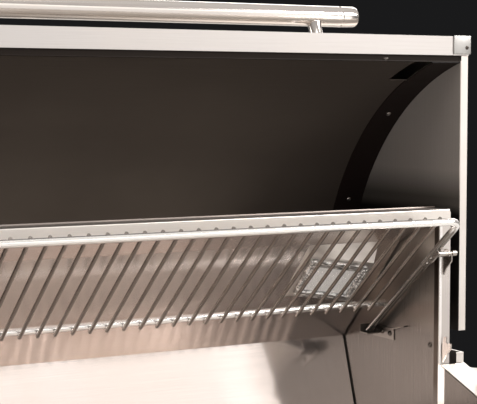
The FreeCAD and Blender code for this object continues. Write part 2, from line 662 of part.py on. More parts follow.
def rack_supports():
    pin_y, pin_z = rack_point(PIN_ALONG, PIN_BELOW)
    hooks = [rack_hook(pin_y, pin_z), rack_hook(pin_y, pin_z - HOOK_DROP)]
    save("rack_hooks", *(hooks + [mirrored(hook) for hook in hooks]))
    save_both("rack_rear_brackets", rear_bracket(0.0))
    y, z = rack_point(SIDE_BAR_END, -RAIL_RADIUS)
    wall = CHAMBER_HALF
    screws = []
    for sy, sz in ((109.4, z + 1.0), (92.0, z + 0.5)):
        screws.append(screw_head(wall - SHEET, sy, sz, -1))
    screws.append(screw_head(wall, 8.6, 304.1, -1))
    save("wall_screws", *(screws + [mirrored(s) for s in screws]))


# ---- grates, fire pot and trays ---------------------------------------------------
def grate(middle):
    """Rod grate: rods running front to back, welded between two cross rods."""
    half = GRATE_WIDTH / 2
    z = GRATE_TOP - 3.5
    pieces = [rod((middle - half, y, z), (middle + half, y, z), 3.5) for y in (GRATE_FRONT, GRATE_BACK)]
    for i in range(GRATE_RODS):
        x = middle - half + 4.0 + i * (GRATE_WIDTH - 8.0) / (GRATE_RODS - 1)
        pieces.append(rod((x, GRATE_FRONT, z), (x, GRATE_BACK, z), 3.0))
    return fused(pieces)


def grate_rails():
    """Ledges along the chamber's front and back walls that carry the grates."""
    z = GRATE_TOP - 7.0
    gap = 0.3
    front = box(-CHAMBER_HALF + 2, CHAMBER_HALF - 2, CHAMBER_FRONT, CHAMBER_FRONT + 14, z - 3, z - gap)
    back = box(-CHAMBER_HALF + 2, CHAMBER_HALF - 2, GRATE_BACK - 10, 162.5, z - 3, z - gap)
    return front, back


def cooking_parts():
    for i, name in enumerate(("left", "middle", "right")):
        save("grate_" + name, grate((i - 1) * GRATE_PITCH))
    tray = bent_sheet([(-250.0, 150.0), (-243.0, 140.0), (130.0, 122.0), (137.0, 132.0)], SHEET,
                      -405.0, 405.0)
    save("drip_tray", tray)
    support = prism_yz([(-150, FLOOR_TOP), (60, FLOOR_TOP), (60, 125.2), (-150, 135.3)], 402.0, 405.0)
    ends = [support, mirrored(support).cut(auger_bore(-410, -400))]
    save("chamber_ledges", *(list(grate_rails()) + ends))
    diffuser = bent_sheet([(AUGER_Y - 90, 100.0), (AUGER_Y, 116.0), (AUGER_Y + 90, 100.0)], 3.0,
                          -120.0, 120.0)
    save("heat_diffuser", diffuser)
    pot = tube((0, AUGER_Y, 59.0), (0, AUGER_Y, 98.0), 52.0, 49.0)
    bottom = rod((0, AUGER_Y, 59.0), (0, AUGER_Y, 61.0), 52.0)
    mouth = rod((-80, AUGER_Y, AUGER_Z), (0, AUGER_Y, AUGER_Z), 12.0)
    igniter = rod((45, AUGER_Y, 70), (140, AUGER_Y, 70), 5.0)
    save("fire_pot", fused([pot, bottom]).cut(mouth).cut(igniter))
    save("igniter_rod", igniter)
    save("temperature_probe", rod((-CHAMBER_HALF, 40, 270), (70 - CHAMBER_HALF, 40, 270), 2.5))


# ---- grease drawer ----------------------------------------------------------------
def drawer():
    w = DRAWER_HALF
    front = box(-w, w, BODY_FRONT - 8, BODY_FRONT - 4, DRAWER_LOW, DRAWER_HIGH)
    y0 = BODY_FRONT - 4
    y1 = BODY_FRONT + 246
    pan = box(-w + 8, w - 8, y0, y1, DRAWER_LOW + 2, DRAWER_HIGH - 4)
    pan = pan.cut(box(-w + 10, w - 10, y0 + 2, y1 - 2, DRAWER_LOW + 4, DRAWER_HIGH))
    pull = box(-60, 60, BODY_FRONT - 26, BODY_FRONT - 8, DRAWER_HIGH - 10, DRAWER_HIGH - 6)
    return fused([front, pull, pan])


# ---- pellet hopper, auger, fan and controls ---------------------------------------
def hopper_walls():
    x0 = HOPPER_LEFT
    x1 = HOPPER_RIGHT
    y0 = HOPPER_FRONT
    y1 = HOPPER_BACK
    top = HOPPER_TOP
    t = SHEET
    return [box(x0, x0 + t, y0, y1, RAIL_HEIGHT, top), box(x1 - t, x1, y0, y1, RAIL_HEIGHT, top),
            box(x0 + t, x1 - t, y0, y0 + t, RAIL_HEIGHT, top),
            box(x0 + t, x1 - t, y1 - t, y1, RAIL_HEIGHT, top)]


def hopper_chute():
    """Sloping inner sheets that lead pellets down to the auger."""
    x0 = HOPPER_LEFT + SHEET + 0.3
    x1 = HOPPER_RIGHT - SHEET - 0.3
    y0 = HOPPER_FRONT + SHEET + 2.5
    y1 = HOPPER_BACK - SHEET - 2.5
    low = AUGER_Z + AUGER_TUBE_RADIUS + 2.0
    back = bent_sheet([(y1, 300.0), (AUGER_Y + 21, low)], SHEET, x0, x1)
    front = bent_sheet([(AUGER_Y - 21, low), (y0, 300.0)], SHEET, x0, x1)
    return back, front


def auger_tube():
    z = AUGER_Z
    r = AUGER_TUBE_RADIUS
    whole = tube((-660, AUGER_Y, z), (-53.5, AUGER_Y, z), r, r - 2.0)
    return whole.cut(box(-640, -500, AUGER_Y - 17, AUGER_Y + 17, z, z + 40))


def auger_screw():
    """Shaft with tilted flights."""
    shaft = rod((-658, AUGER_Y, AUGER_Z), (-56, AUGER_Y, AUGER_Z), 6.0)
    flights = []
    pitch = 36.0
    x = -640.0
    while x < -70.0:
        disc = Part.makeCylinder(20.0, 2.5, Vector(x, AUGER_Y, AUGER_Z), Vector(1, 0, 0))
        disc.rotate(Vector(x, AUGER_Y, AUGER_Z), Vector(0, 1, 0), 14.0)
        flights.append(disc)
        x += pitch
    return fused([shaft] + flights)


def fan_housing():
    """Blower scroll inside the hopper, beside the auger tube."""
    y = 60.0
    z = 84.0
    outer = rod((-620, y, z), (-560, y, z), 55.0)
    outer = outer.cut(rod((-617, y, z), (-563, y, z), 51.0))
    outer = outer.cut(rod((-640, y, z), (-600, y, z), 30.0)).cut(rod((-565, y, z), (-558, y, z), 7.0))
    return outer


def fan_wheel():
    y = 60.0
    z = 84.0
    hub = rod((-604, y, z), (-558, y, z), 6.0)
    disc = rod((-572, y, z), (-569, y, z), 44.0)
    blades = []
    for i in range(12):
        blade = box(-606, -571, y - 1, y + 1, z + 30, z + 43)
        blade.rotate(Vector(-580, y, z), Vector(1, 0, 0), i * 30.0)
        blades.append(blade)
    return fused([hub, disc] + blades)


def controls():
    """Upright control panel on the hopper front with display, knob, button and jacks."""
    x0 = HOPPER_LEFT + 18
    x1 = HOPPER_RIGHT - 18
    y0 = HOPPER_FRONT
    panel = box(x0, x1, y0 - 14, y0, 236.0, 400.0)
    middle = (x0 + x1) / 2
    recess = box(x0 + 16, x1 - 16, y0 - 15, y0 - 10.5, 338.0, 386.0)
    knob_hole = rod((middle, y0 - 20, 290), (middle, y0 - 4, 290), 4.05)
    button_hole = rod((x1 - 28, y0 - 20, 290), (x1 - 28, y0 - 2, 290), 8.5)
    jacks = [tube((x0 + 28, y0 - 17, z), (x0 + 28, y0 - 14, z), 6.0, 2.2) for z in (278.0, 302.0)]
    save("control_panel", fused([panel.cut(recess).cut(knob_hole).cut(button_hole)] + jacks))
    save("display_window", box(x0 + 16, x1 - 16, y0 - 13.5, y0 - 10.5, 338.0, 386.0))
    knob = rod((middle, y0 - 15, 290), (middle, y0 - 37, 290), 21.0)
    grip = box(middle - 3, middle + 3, y0 - 43, y0 - 36, 270.5, 309.5)
    shaft = rod((middle, y0 - 15, 290), (middle, y0 - 5, 290), 4.0)
    save("control_knob", fused([knob, grip, shaft]))
    save("power_button", rod((x1 - 28, y0 - 18, 290), (x1 - 28, y0 - 6, 290), 8.0))


def power_inlet():
    """Recessed three-pole inlet on the hopper back."""
    y = HOPPER_BACK
    body = box(-600, -570, y, y + 8, 150, 176).cut(box(-596, -574, y + 2, y + 9, 154, 172))
    pins = [box(-586.5, -583.5, y + 1, y + 7, z, z + 2) for z in (157.0, 168.0)]
    return fused([body] + pins)


def hopper():
    base = box(HOPPER_LEFT + SHEET, HOPPER_RIGHT - SHEET, HOPPER_FRONT + SHEET,
               HOPPER_BACK - SHEET, RAIL_HEIGHT, RAIL_HEIGHT + SHEET)
    walls = [wall.cut(auger_bore(HOPPER_RIGHT - 5, HOPPER_RIGHT + 5)) for wall in hopper_walls()]
    save("hopper_walls", *(walls + [base]))
    save("hopper_chute", *hopper_chute())
    lid = box(HOPPER_LEFT - 3, HOPPER_RIGHT + 3, HOPPER_FRONT - 6, HOPPER_BACK - 2, HOPPER_TOP + 1,
              HOPPER_TOP + 4)
    skirt = box(HOPPER_LEFT - 3, HOPPER_RIGHT + 3, HOPPER_FRONT - 6, HOPPER_FRONT - 3, HOPPER_TOP - 14,
                HOPPER_TOP + 1)
    y = HOPPER_BACK + 5
    z = HOPPER_TOP + 2.5
    pin = rod((HOPPER_LEFT + 15, y, z), (HOPPER_RIGHT - 15, y, z), 2.5)
    knuckles = []
    leaves = []
    for i in range(6):
        a = HOPPER_LEFT + 23 + i * 30.0
        barrel = tube((a, y, z), (a + 29.0, y, z), 4.6, 2.5 + (RUNNING_GAP if i % 2 else 0))
        if i % 2:
            leaf = box(a, a + 29.0, y - 7.0, y - 3.2, z - 1.5, z + 1.5)
            knuckles.append(barrel.fuse(leaf).removeSplitter())
        else:
            leaf = box(a, a + 29.0, y - 5.0, y - 3.2, z - 26.0, z - 2.0)
            leaves.append(barrel.fuse(leaf).removeSplitter())
    pull = box(-623, -543, HOPPER_FRONT - 22, HOPPER_FRONT - 6, HOPPER_TOP - 2, HOPPER_TOP + 1)
    save("hopper_lid", fused([lid, skirt, pull] + knuckles))
    save("lid_hinge", fused([pin] + leaves))
    save("auger_tube", auger_tube())
    save("auger_screw", auger_screw())
    save("fan_housing", fan_housing())
    save("fan_wheel", fan_wheel())
    save("power_inlet", power_inlet())
    controls()


firebox()
lights()
hood()
save("hood_hinge_pins", *hinge_pins())
wire_rack()
rack_supports()
cooking_parts()
save("grease_drawer", drawer())
hopper()
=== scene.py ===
# Looks of the built-in pellet smoker grill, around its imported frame. Metres, Z up.
# The CAD nodes whose shape is right keep their meshes and get finishes here. Lenses, lamps,
# fasteners, gauge, knob, button, display, auger, handle and louvres are modelled here in full.
import json
import math
import random

import bmesh
import bpy
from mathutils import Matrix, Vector


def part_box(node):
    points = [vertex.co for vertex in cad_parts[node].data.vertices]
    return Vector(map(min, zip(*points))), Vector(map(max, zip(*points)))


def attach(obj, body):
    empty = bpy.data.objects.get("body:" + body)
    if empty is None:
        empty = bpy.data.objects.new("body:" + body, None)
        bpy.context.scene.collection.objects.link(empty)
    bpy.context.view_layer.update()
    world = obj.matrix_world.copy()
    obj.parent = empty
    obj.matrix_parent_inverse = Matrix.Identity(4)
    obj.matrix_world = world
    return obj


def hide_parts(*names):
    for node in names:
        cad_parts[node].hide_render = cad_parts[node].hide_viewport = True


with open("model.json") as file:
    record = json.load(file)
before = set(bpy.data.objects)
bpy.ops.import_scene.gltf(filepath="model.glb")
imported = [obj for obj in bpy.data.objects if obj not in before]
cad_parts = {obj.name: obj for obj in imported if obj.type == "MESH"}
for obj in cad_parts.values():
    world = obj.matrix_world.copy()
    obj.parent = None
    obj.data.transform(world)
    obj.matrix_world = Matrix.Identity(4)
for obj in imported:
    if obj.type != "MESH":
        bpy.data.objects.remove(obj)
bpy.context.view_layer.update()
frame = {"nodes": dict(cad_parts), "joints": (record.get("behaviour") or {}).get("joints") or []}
NODES = frame["nodes"]
SCENE = bpy.context.scene
X = Vector((1, 0, 0))
Y = Vector((0, 1, 0))
Z = Vector((0, 0, 1))


# ---- camera -----------------------------------------------------------------------
CAMERA_LENS = 112.15
CAMERA_PLACE = (-0.6461, -1.4483, 0.603)
CAMERA_PITCH = math.radians(86.02)       # from straight down
CAMERA_HEADING = math.radians(-28.87)    # from +Y, to the right


def make_camera():
    data = bpy.data.cameras.new("camera")
    data.lens = CAMERA_LENS
    data.sensor_width = 36.0
    data.clip_start = 0.05
    data.clip_end = 60.0
    camera = bpy.data.objects.new("camera", data)
    camera.location = CAMERA_PLACE
    camera.rotation_euler = (CAMERA_PITCH, 0.0, CAMERA_HEADING)
    SCENE.collection.objects.link(camera)
    SCENE.camera = camera


make_camera()


# ---- material helpers -------------------------------------------------------------
class Shader:
    """A node material with one Principled shader and short ways to feed it."""

    def __init__(self, name, **values):
        self.material = bpy.data.materials.new(name)
        self.material.use_nodes = True
        self.tree = self.material.node_tree
        self.bsdf = self.tree.nodes["Principled BSDF"]
        self.coords = None
        for key, value in values.items():
            self.bsdf.inputs[key.replace("_", " ")].default_value = value

    def node(self, kind, **settings):
        made = self.tree.nodes.new("ShaderNode" + kind)
        for key, value in settings.items():
            setattr(made, key, value)
        return made

    def link(self, source, target):
        self.tree.links.new(source, target)

    def colour(self, source):
        self.link(source, self.bsdf.inputs["Base Color"])

    def rough(self, source):
        self.link(source, self.bsdf.inputs["Roughness"])

    def position(self, scale=(1.0, 1.0, 1.0)):
        """Coordinates in the piece's own frame, stretched by scale."""
        if self.coords is None:
            self.coords = self.node("TexCoord")
        mapping = self.node("Mapping")
        mapping.inputs["Scale"].default_value = scale
        self.link(self.coords.outputs["Object"], mapping.inputs["Vector"])
        return mapping.outputs["Vector"]

    def axis(self, name):
        split = self.node("SeparateXYZ")
        self.link(self.position(), split.inputs["Vector"])
        return split.outputs[name]

    def noise(self, scale, detail=2.0, roughness=0.5, distortion=0.0):
        made = self.node("TexNoise")
        for key, value in (("Scale", 1.0), ("Detail", detail), ("Roughness", roughness),
                           ("Distortion", distortion)):
            made.inputs[key].default_value = value
        self.link(self.position(scale), made.inputs["Vector"])
        return made.outputs["Fac"]

    def cells(self, scale, kind="F1"):
        made = self.node("TexVoronoi", feature=kind)
        made.inputs["Scale"].default_value = 1.0
        self.link(self.position(scale), made.inputs["Vector"])
        return made.outputs["Distance"]

    def spread(self, value, low, high, start=0.3, end=0.7):
        """A value between low and high as the input goes from start to end."""
        made = self.node("MapRange")
        for key, number in (("From Min", start), ("From Max", end), ("To Min", low), ("To Max", high)):
            made.inputs[key].default_value = number
        self.link(value, made.inputs["Value"])
        return made.outputs["Result"]

    def maths(self, operation, first, second):
        made = self.node("Math", operation=operation)
        self.link(first, made.inputs[0])
        self.link(second, made.inputs[1])
        return made.outputs[0]

    def sum(self, first, second):
        return self.maths("ADD", first, second)

    def within(self, name, low, high, soft):
        """One where a coordinate lies between low and high, fading out over soft."""
        value = self.axis(name)
        rising = self.spread(value, 0.0, 1.0, low - soft, low)
        falling = self.spread(value, 1.0, 0.0, high, high + soft)
        return self.maths("MULTIPLY", rising, falling)

    def blend(self, value, first, second):
        made = self.node("Mix", data_type="RGBA")
        colours = [s for s in made.inputs if s.type == "RGBA"]
        self.link(value, made.inputs["Factor"])
        for socket, colour in zip(colours, (first, second)):
            if isinstance(colour, tuple):
                socket.default_value = (*colour, 1.0)
            else:
                self.link(colour, socket)
        return [s for s in made.outputs if s.type == "RGBA"][0]

    def bump(self, height, strength, distance):
        made = self.node("Bump")
        made.inputs["Strength"].default_value = strength
        made.inputs["Distance"].default_value = distance
        normal = self.bsdf.inputs["Normal"]
        if normal.is_linked:
            self.link(normal.links[0].from_socket, made.inputs["Normal"])
        self.link(height, made.inputs["Height"])
        self.link(made.outputs["Normal"], normal)

    def smear(self, direction):
        """Reflections blur most along this direction of the piece's frame, across the grain."""
        vector = self.node("CombineXYZ")
        for key, number in zip("XYZ", direction):
            vector.inputs[key].default_value = number
        turned = self.node("VectorTransform", vector_type="VECTOR", convert_from="OBJECT", convert_to="WORLD")
        self.link(vector.outputs["Vector"], turned.inputs["Vector"])
        self.link(turned.outputs["Vector"], self.bsdf.inputs["Tangent"])


GRAIN = {"x": (9.0, 2600.0, 2600.0), "y": (2600.0, 9.0, 2600.0), "z": (2600.0, 2600.0, 9.0)}


def scaled(colour, factor):
    return tuple(min(1.0, c * f) for c, f in zip(colour, factor))


def steel(name, colour, rough, grain, smear=None, anisotropic=0.0, metallic=1.0, stain=0.0, painted_light=(),
          haze=None):
    """Brushed stainless: grain lines, soft smudges and heat tint (stain); each painted-light zone is a colour
    of painted light or shade, with the coordinate ranges it fills."""
    s = Shader(name, Metallic=metallic, Anisotropic=anisotropic)
    lines = s.noise(GRAIN[grain], 3.0, 0.65)
    smudge = s.noise((6.0, 6.0, 6.0), 4.0, 0.55, 0.5)
    cloud = s.noise((2.2, 2.2, 2.2), 3.0, 0.6, 0.8)
    shade = s.blend(s.spread(smudge, 0.0, 1.0, 0.35, 0.65), colour, scaled(colour, (0.95, 0.925, 0.90)))
    if stain:
        tint = s.spread(cloud, 0.0, stain, 0.4, 0.75)
        shade = s.blend(tint, shade, scaled(colour, (0.62, 0.47, 0.34)))
    shade = s.blend(s.spread(lines, 0.0, 0.8), shade, scaled(colour, (0.84, 0.82, 0.80)))
    # Painted light and shade: each zone lays its colour over the steel where its ranges meet.
    for tone, ranges in painted_light:
        inside = None
        for limits in ranges:
            part = s.within(*limits)
            inside = part if inside is None else s.maths("MULTIPLY", inside, part)
        shade = s.blend(inside, shade, tone)
    s.colour(shade)
    blur = s.sum(s.spread(lines, rough * 0.85, rough * 1.15), s.spread(smudge, -0.04, 0.04))
    if haze:
        bottom, top, amount = haze
        blur = s.sum(blur, s.spread(s.axis("Z"), 0.0, amount, bottom, top))
    s.rough(blur)
    s.bump(lines, 0.08, 0.00003)
    if smear:
        s.smear(smear)
    return s.material


# Painted light and shade on the steel. On the chamber walls: painted shade low in the chamber, a brown strip
# of painted shade behind each front bend, the flanges' front face painted lighter as a lit face, and a
# painted highlight along the right-hand bend. The foot of the hood sides, which hangs beside the housing,
# gets painted shadow.
# Brown of the painted shade behind the chamber walls' front bends.
BEND_SHADE_BROWN = (0.045, 0.032, 0.024)
# Near black of the painted shadow at the foot of the hood sides.
FOOT_SHADOW_BLACK = (0.012, 0.010, 0.009)
WALL_PAINTED_LIGHT = [((0.115, 0.10, 0.09), [("Z", 0.0, 0.315, 0.05), ("X", -0.425, 0.425, 0.001)]),
              (BEND_SHADE_BROWN, [("Y", -0.0066, 0.0008, 0.0012), ("Z", 0.26, 0.45, 0.03)]),
              ((0.62, 0.575, 0.545), [("Y", -0.02, -0.0082, 0.0008)]),
              ((0.95, 0.92, 0.90), [("Y", -0.02, -0.0082, 0.0008), ("X", 0.4238, 0.4262, 0.0006)])]
# Painted highlight: the far rail among the rack wires painted near white, as if broadly lit.
RAIL_PAINTED_HIGHLIGHT = [((0.97, 0.96, 0.95), [("Y", 0.0865, 0.097, 0.0006), ("Z", 0.3428, 0.353, 0.0004)])]
# Painted shade: the rack frame's side bars painted dark, behind the bright near rail.
BAR_PAINTED_SHADE = [((0.27, 0.25, 0.23), [("Y", -0.050, 0.3, 0.006)])]
# Painted shadow: the hood sides darken, then turn near black, towards their foot beside the housing.
SIDE_PAINTED_SHADOW = [((0.13, 0.115, 0.10), [("Z", 0.30, 0.482, 0.035)]),
              (FOOT_SHADOW_BLACK, [("Z", 0.30, 0.462, 0.012)])]


def brushed_finishes():
    bright = (0.80, 0.77, 0.74)
    grey = (0.62, 0.585, 0.55)
    return {
        "bright": steel("bright_steel", bright, 0.34, "x"),
        "bright_up": steel("bright_steel_upright", bright, 0.34, "z"),
        "lip": steel("lip_steel", (0.62, 0.60, 0.59), 0.36, "x"),
        "wall": steel("chamber_wall_steel", (0.36, 0.325, 0.295), 0.32, "z", (0, 1, 0), 0.5, 0.85, 0.25,
                      WALL_PAINTED_LIGHT),
        "panel": steel("back_panel_steel", (0.88, 0.81, 0.78), 0.13, "x", (0, 0.69, -0.73), 0.5, 0.9, 0.12,
                       haze=(0.335, 0.36, 0.07)),
        "side": steel("hood_side_steel", (0.56, 0.51, 0.475), 0.36, "z", (0, 1, 0), 0.5, 0.7,
                      painted_light=SIDE_PAINTED_SHADOW),
        "body": steel("body_steel", grey, 0.32, "x"),
        "deck": steel("deck_steel", grey, 0.34, "y"),
        "rear": steel("rear_cover_steel", (0.34, 0.30, 0.28), 0.36, "x"),
        "polished": steel("polished_steel", (0.80, 0.76, 0.73), 0.17, "x"),
        # The rack's wires and rails are one steel in two copies: the wires darker as painted shade, the rails
        # near white as painted light.
        "wire": steel("rack_wire", (0.35, 0.322, 0.30), 0.24, "y", stain=0.1, painted_light=RAIL_PAINTED_HIGHLIGHT),
        "rail": steel("rack_rail", (0.94, 0.93, 0.92), 0.2, "x", metallic=0.85, painted_light=BAR_PAINTED_SHADE),
        "bracket": steel("bracket_steel", (0.21, 0.19, 0.175), 0.34, "y"),
        "screw": steel("wall_screw_steel", (0.10, 0.088, 0.08), 0.3, "x"),
        "hook": steel("hook_steel", (0.40, 0.37, 0.345), 0.26, "z"),
        "housing": steel("lamp_housing_steel", (0.80, 0.77, 0.74), 0.3, "x", metallic=0.85),
        "grate": steel("grate_steel", (0.82, 0.77, 0.73), 0.35, "y", metallic=0.6, stain=0.2),
        "tray": steel("tray_steel", (0.86, 0.81, 0.77), 0.4, "x", metallic=0.6, stain=0.15),
        "hot": steel("heat_tinted_steel", (0.50, 0.44, 0.38), 0.40, "x", stain=0.9),
        "clip": steel("clip_aluminium", (0.50, 0.50, 0.495), 0.38, "z", metallic=0.85),
        "rivet": steel("rivet_aluminium", (0.30, 0.28, 0.265), 0.30, "z"),
    }


def coating(name, dark, light, metallic, rough):
    """Baked coating inside the hood: fine lines and pores, with painted shade towards both ends and the top,
    and the turned-up front edge painted near black as painted shadow.
    """
    s = Shader(name, Metallic=metallic, Specular_IOR_Level=0.08)
    lines = s.noise(GRAIN["x"], 3.0)
    haze = s.noise((3.5, 5.0, 5.0), 4.0, 0.6)
    shade = s.blend(s.spread(haze, 0.0, 1.0), dark, light)
    painted_shade = scaled(dark, (0.34, 0.34, 0.36))
    # Painted shade: darker towards both ends of the hood.
    shade = s.blend(s.within("X", -0.16, 0.16, 0.30), painted_shade, shade)
    # Painted shade: darker towards the top of the liner.
    shade = s.blend(s.spread(s.axis("Z"), 0.0, 0.8, 0.45, 0.65), shade, painted_shade)
    # Painted shadow: the turned-up front edge near black.
    s.colour(s.blend(s.within("Y", -0.02, -0.00735, 0.0002), shade, scaled(dark, (0.12, 0.11, 0.11))))
    s.rough(s.sum(s.spread(lines, rough - 0.05, rough + 0.07), s.spread(haze, -0.04, 0.06)))
    s.bump(lines, 0.15, 0.00004)
    s.bump(s.noise((900.0, 900.0, 900.0), 2.0), 0.12, 0.00005)
    return s.material


def rubber_finish():
    s = Shader("seal_rubber")
    s.colour(s.blend(s.noise((40.0, 40.0, 40.0), 3.0), (0.018, 0.018, 0.019), (0.035, 0.034, 0.033)))
    s.rough(s.spread(s.noise((300.0, 300.0, 300.0)), 0.62, 0.8))
    s.bump(s.noise((2500.0, 2500.0, 2500.0)), 0.3, 0.00006)
    return s.material


def plastic_finish(name, dark, light, rough):
    """Moulded plastic with a fine spark-eroded grain."""
    s = Shader(name)
    s.colour(s.blend(s.noise((30.0, 30.0, 30.0), 3.0), dark, light))
    s.rough(s.spread(s.noise((500.0, 500.0, 500.0)), rough - 0.06, rough + 0.08))
    s.bump(s.cells((1800.0, 1800.0, 1800.0)), 0.25, 0.00006)
    return s.material


def glass_finish(name, tint, rough, alpha, coarse):
    """Pressed glass: slightly wavy, with faint cords; partly see-through."""
    s = Shader(name, Transmission_Weight=1.0, Alpha=alpha, IOR=1.48)
    s.colour(s.blend(s.noise((60.0, 60.0, 60.0), 2.0), tint, scaled(tint, (0.93, 0.94, 0.93))))
    s.rough(s.spread(s.noise((200.0, 200.0, 200.0)), rough, rough + 0.05))
    s.bump(s.noise((coarse, coarse, coarse), 2.0, 0.5, 0.6), 0.5, 0.0004)
    return s.material


def bead_finish():
    """Lens border: moulded beads with painted glints, near-white and dark-grey spots in place of sparkle and
    shade.
    """
    s = Shader("lamp_bead_glass", Transmission_Weight=0.3, Alpha=0.95, IOR=1.48, Metallic=0.7)
    spots = s.noise((110.0, 330.0, 330.0), 1.0, 0.5, 0.4)
    # Painted glints and painted shade: near-white and dark-grey spots over the beads.
    s.colour(s.blend(s.spread(spots, 0.0, 1.0, 0.42, 0.56), (0.98, 0.975, 0.96), (0.32, 0.31, 0.30)))
    s.rough(s.spread(spots, 0.04, 0.14))
    s.bump(spots, 0.4, 0.0004)
    return s.material


def reflector_finish():
    """Bright anodised lamp reflector with a faint painted glow, though no lamp is lit; the filaments share
    it.
    """
    # The emission is painted light, a faint glow that brightens the reflector.
    s = Shader("lamp_reflector", Metallic=0.3, Emission_Strength=0.12)
    s.bsdf.inputs["Emission Color"].default_value = (1.0, 0.975, 0.95, 1.0)
    s.colour(s.blend(s.noise((30.0, 30.0, 900.0), 3.0), (0.98, 0.97, 0.95), (0.90, 0.88, 0.85)))
    s.rough(s.spread(s.noise(GRAIN["z"]), 0.22, 0.34))
    s.bump(s.noise((160.0, 160.0, 160.0), 2.0), 0.2, 0.0002)
    return s.material


def display_finish():
    s = Shader("display_glass", Coat_Weight=0.8, Coat_Roughness=0.06)
    s.colour(s.blend(s.noise((8.0, 8.0, 8.0), 3.0), (0.004, 0.005, 0.006), (0.012, 0.012, 0.013)))
    s.rough(s.spread(s.noise((20.0, 20.0, 20.0), 4.0), 0.08, 0.2))
    return s.material


def enamel_finish(name, dark, light):
    s = Shader(name, Coat_Weight=0.3, Coat_Roughness=0.15)
    s.colour(s.blend(s.noise((14.0, 14.0, 14.0), 4.0), dark, light))
    s.rough(s.spread(s.noise((90.0, 90.0, 90.0)), 0.28, 0.4))
    s.bump(s.noise((420.0, 420.0, 420.0), 3.0), 0.25, 0.0001)
    return s.material


def glow_finish(name, colour, strength):
    s = Shader(name, Emission_Strength=strength)
    s.bsdf.inputs["Emission Color"].default_value = (*colour, 1.0)
    s.colour(s.blend(s.noise((900.0, 900.0, 900.0)), scaled(colour, (0.8, 0.8, 0.8)), colour))
    return s.material


def paint_finish(name, colour):
    s = Shader(name)
    s.colour(s.blend(s.noise((300.0, 300.0, 300.0), 3.0), scaled(colour, (0.85, 0.85, 0.85)), colour))
    s.rough(s.spread(s.noise((700.0, 700.0, 700.0)), 0.35, 0.5))
    return s.material


FINISH = brushed_finishes()
FINISH.update({
    "liner": coating("liner_coating", (0.112, 0.090, 0.073), (0.150, 0.122, 0.099), 0.15, 0.46),
    "strap": coating("strap_coating", (0.030, 0.020, 0.017), (0.044, 0.030, 0.025), 0.1, 0.42),
    "enamel": enamel_finish("dark_enamel", (0.012, 0.012, 0.013), (0.022, 0.021, 0.021)),
    "rubber": rubber_finish(),
    "plastic": plastic_finish("black_plastic", (0.014, 0.014, 0.015), (0.028, 0.027, 0.027), 0.5),
    "lens": bead_finish(),
    "mirror": reflector_finish(),
    "pane": glass_finish("lamp_pane_glass", (0.98, 0.99, 0.98), 0.04, 0.15, 120.0),
    "bulb": glass_finish("bulb_glass", (1.0, 0.99, 0.97), 0.02, 0.35, 90.0),
    "cover": glass_finish("gauge_cover_glass", (1.0, 1.0, 1.0), 0.02, 0.16, 30.0),
    "display": display_finish(),
    "digit": glow_finish("display_digit", (1.0, 0.42, 0.10), 1.6),
    "dial": enamel_finish("gauge_dial", (0.33, 0.325, 0.31), (0.38, 0.375, 0.36)),
    "tick": paint_finish("dial_ink", (0.02, 0.02, 0.022)),
    "needle": paint_finish("needle_paint", (0.62, 0.05, 0.03)),
    "white": paint_finish("knob_mark", (0.85, 0.84, 0.80)),
})

# Which finish each CAD node gets.
NODE_FINISH = {
    "bright": ["housing_roof"],
    "lip": ["hood_lip"],
    "bright_up": ["hood_outer_sides", "body_sides", "housing_side_covers"],
    "wall": ["chamber_sides", "hood_hinge_pins"],
    "panel": ["slanted_back_panel", "lower_back_wall"],
    "side": ["hood_inner_sides"],
    "body": ["hood_skin", "front_fascia", "back_panel", "grease_drawer", "hopper_walls", "hopper_lid",
             "chamber_floor_and_front", "hood_rear_panel"],
    "rear": ["rear_cover"],
    "deck": ["rim_covers", "base_plate", "hopper_chute"],
    "tray": ["drip_tray"],
    "hot": ["heat_diffuser", "fire_pot", "igniter_rod", "auger_tube", "chamber_ledges"],
    "polished": ["lid_hinge", "temperature_probe"],
    "hook": ["rack_hooks", "rack_tabs"],
    "bracket": ["rack_rear_brackets"],
    "housing": ["light_housings"],
    "rail": ["rack_frame"],
    "wire": ["rack_wires"],
    "grate": ["grate_left", "grate_middle", "grate_right"],
    "liner": ["hood_liner"],
    "strap": ["liner_straps"],
    "enamel": ["base_rails", "control_panel", "fan_housing"],
    "rubber": ["rim_seals"],
    "plastic": ["fan_wheel", "power_inlet"],
    "display": ["display_window"],
}


def paint_nodes():
    for key, names in NODE_FINISH.items():
        for name in names:
            data = NODES[name].data
            data.materials.clear()
            data.materials.append(FINISH[key])


# ---- mesh helpers -----------------------------------------------------------------
def mm(*values):
    """Millimetres to metres, as a vector for three values."""
    scaled_values = [v / 1000.0 for v in values]
    return Vector(scaled_values) if len(scaled_values) == 3 else scaled_values[0]


def piece(name, model, finish, body, slot, *replaced, sharp=35.0):
    """A riding mesh object made from a bmesh, smooth except along edges sharper than given."""
    bmesh.ops.recalc_face_normals(model, faces=model.faces)
    limit = math.radians(sharp)
    for face in model.faces:
        face.smooth = True
    for edge in model.edges:
        edge.smooth = len(edge.link_faces) == 2 and edge.calc_face_angle() < limit
    mesh = bpy.data.meshes.new(name)
    model.to_mesh(mesh)
    model.free()
    mesh.materials.append(FINISH[finish])
    made = bpy.data.objects.new(name, mesh)
    SCENE.collection.objects.link(made)
    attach(made, body)
    if replaced:
        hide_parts(*replaced)


def side_axes(axis):
    """Two unit vectors square to an axis and to each other."""
    first = axis.cross(X if abs(axis.x) < 0.9 else Y).normalized()
    return first, axis.cross(first).normalized()


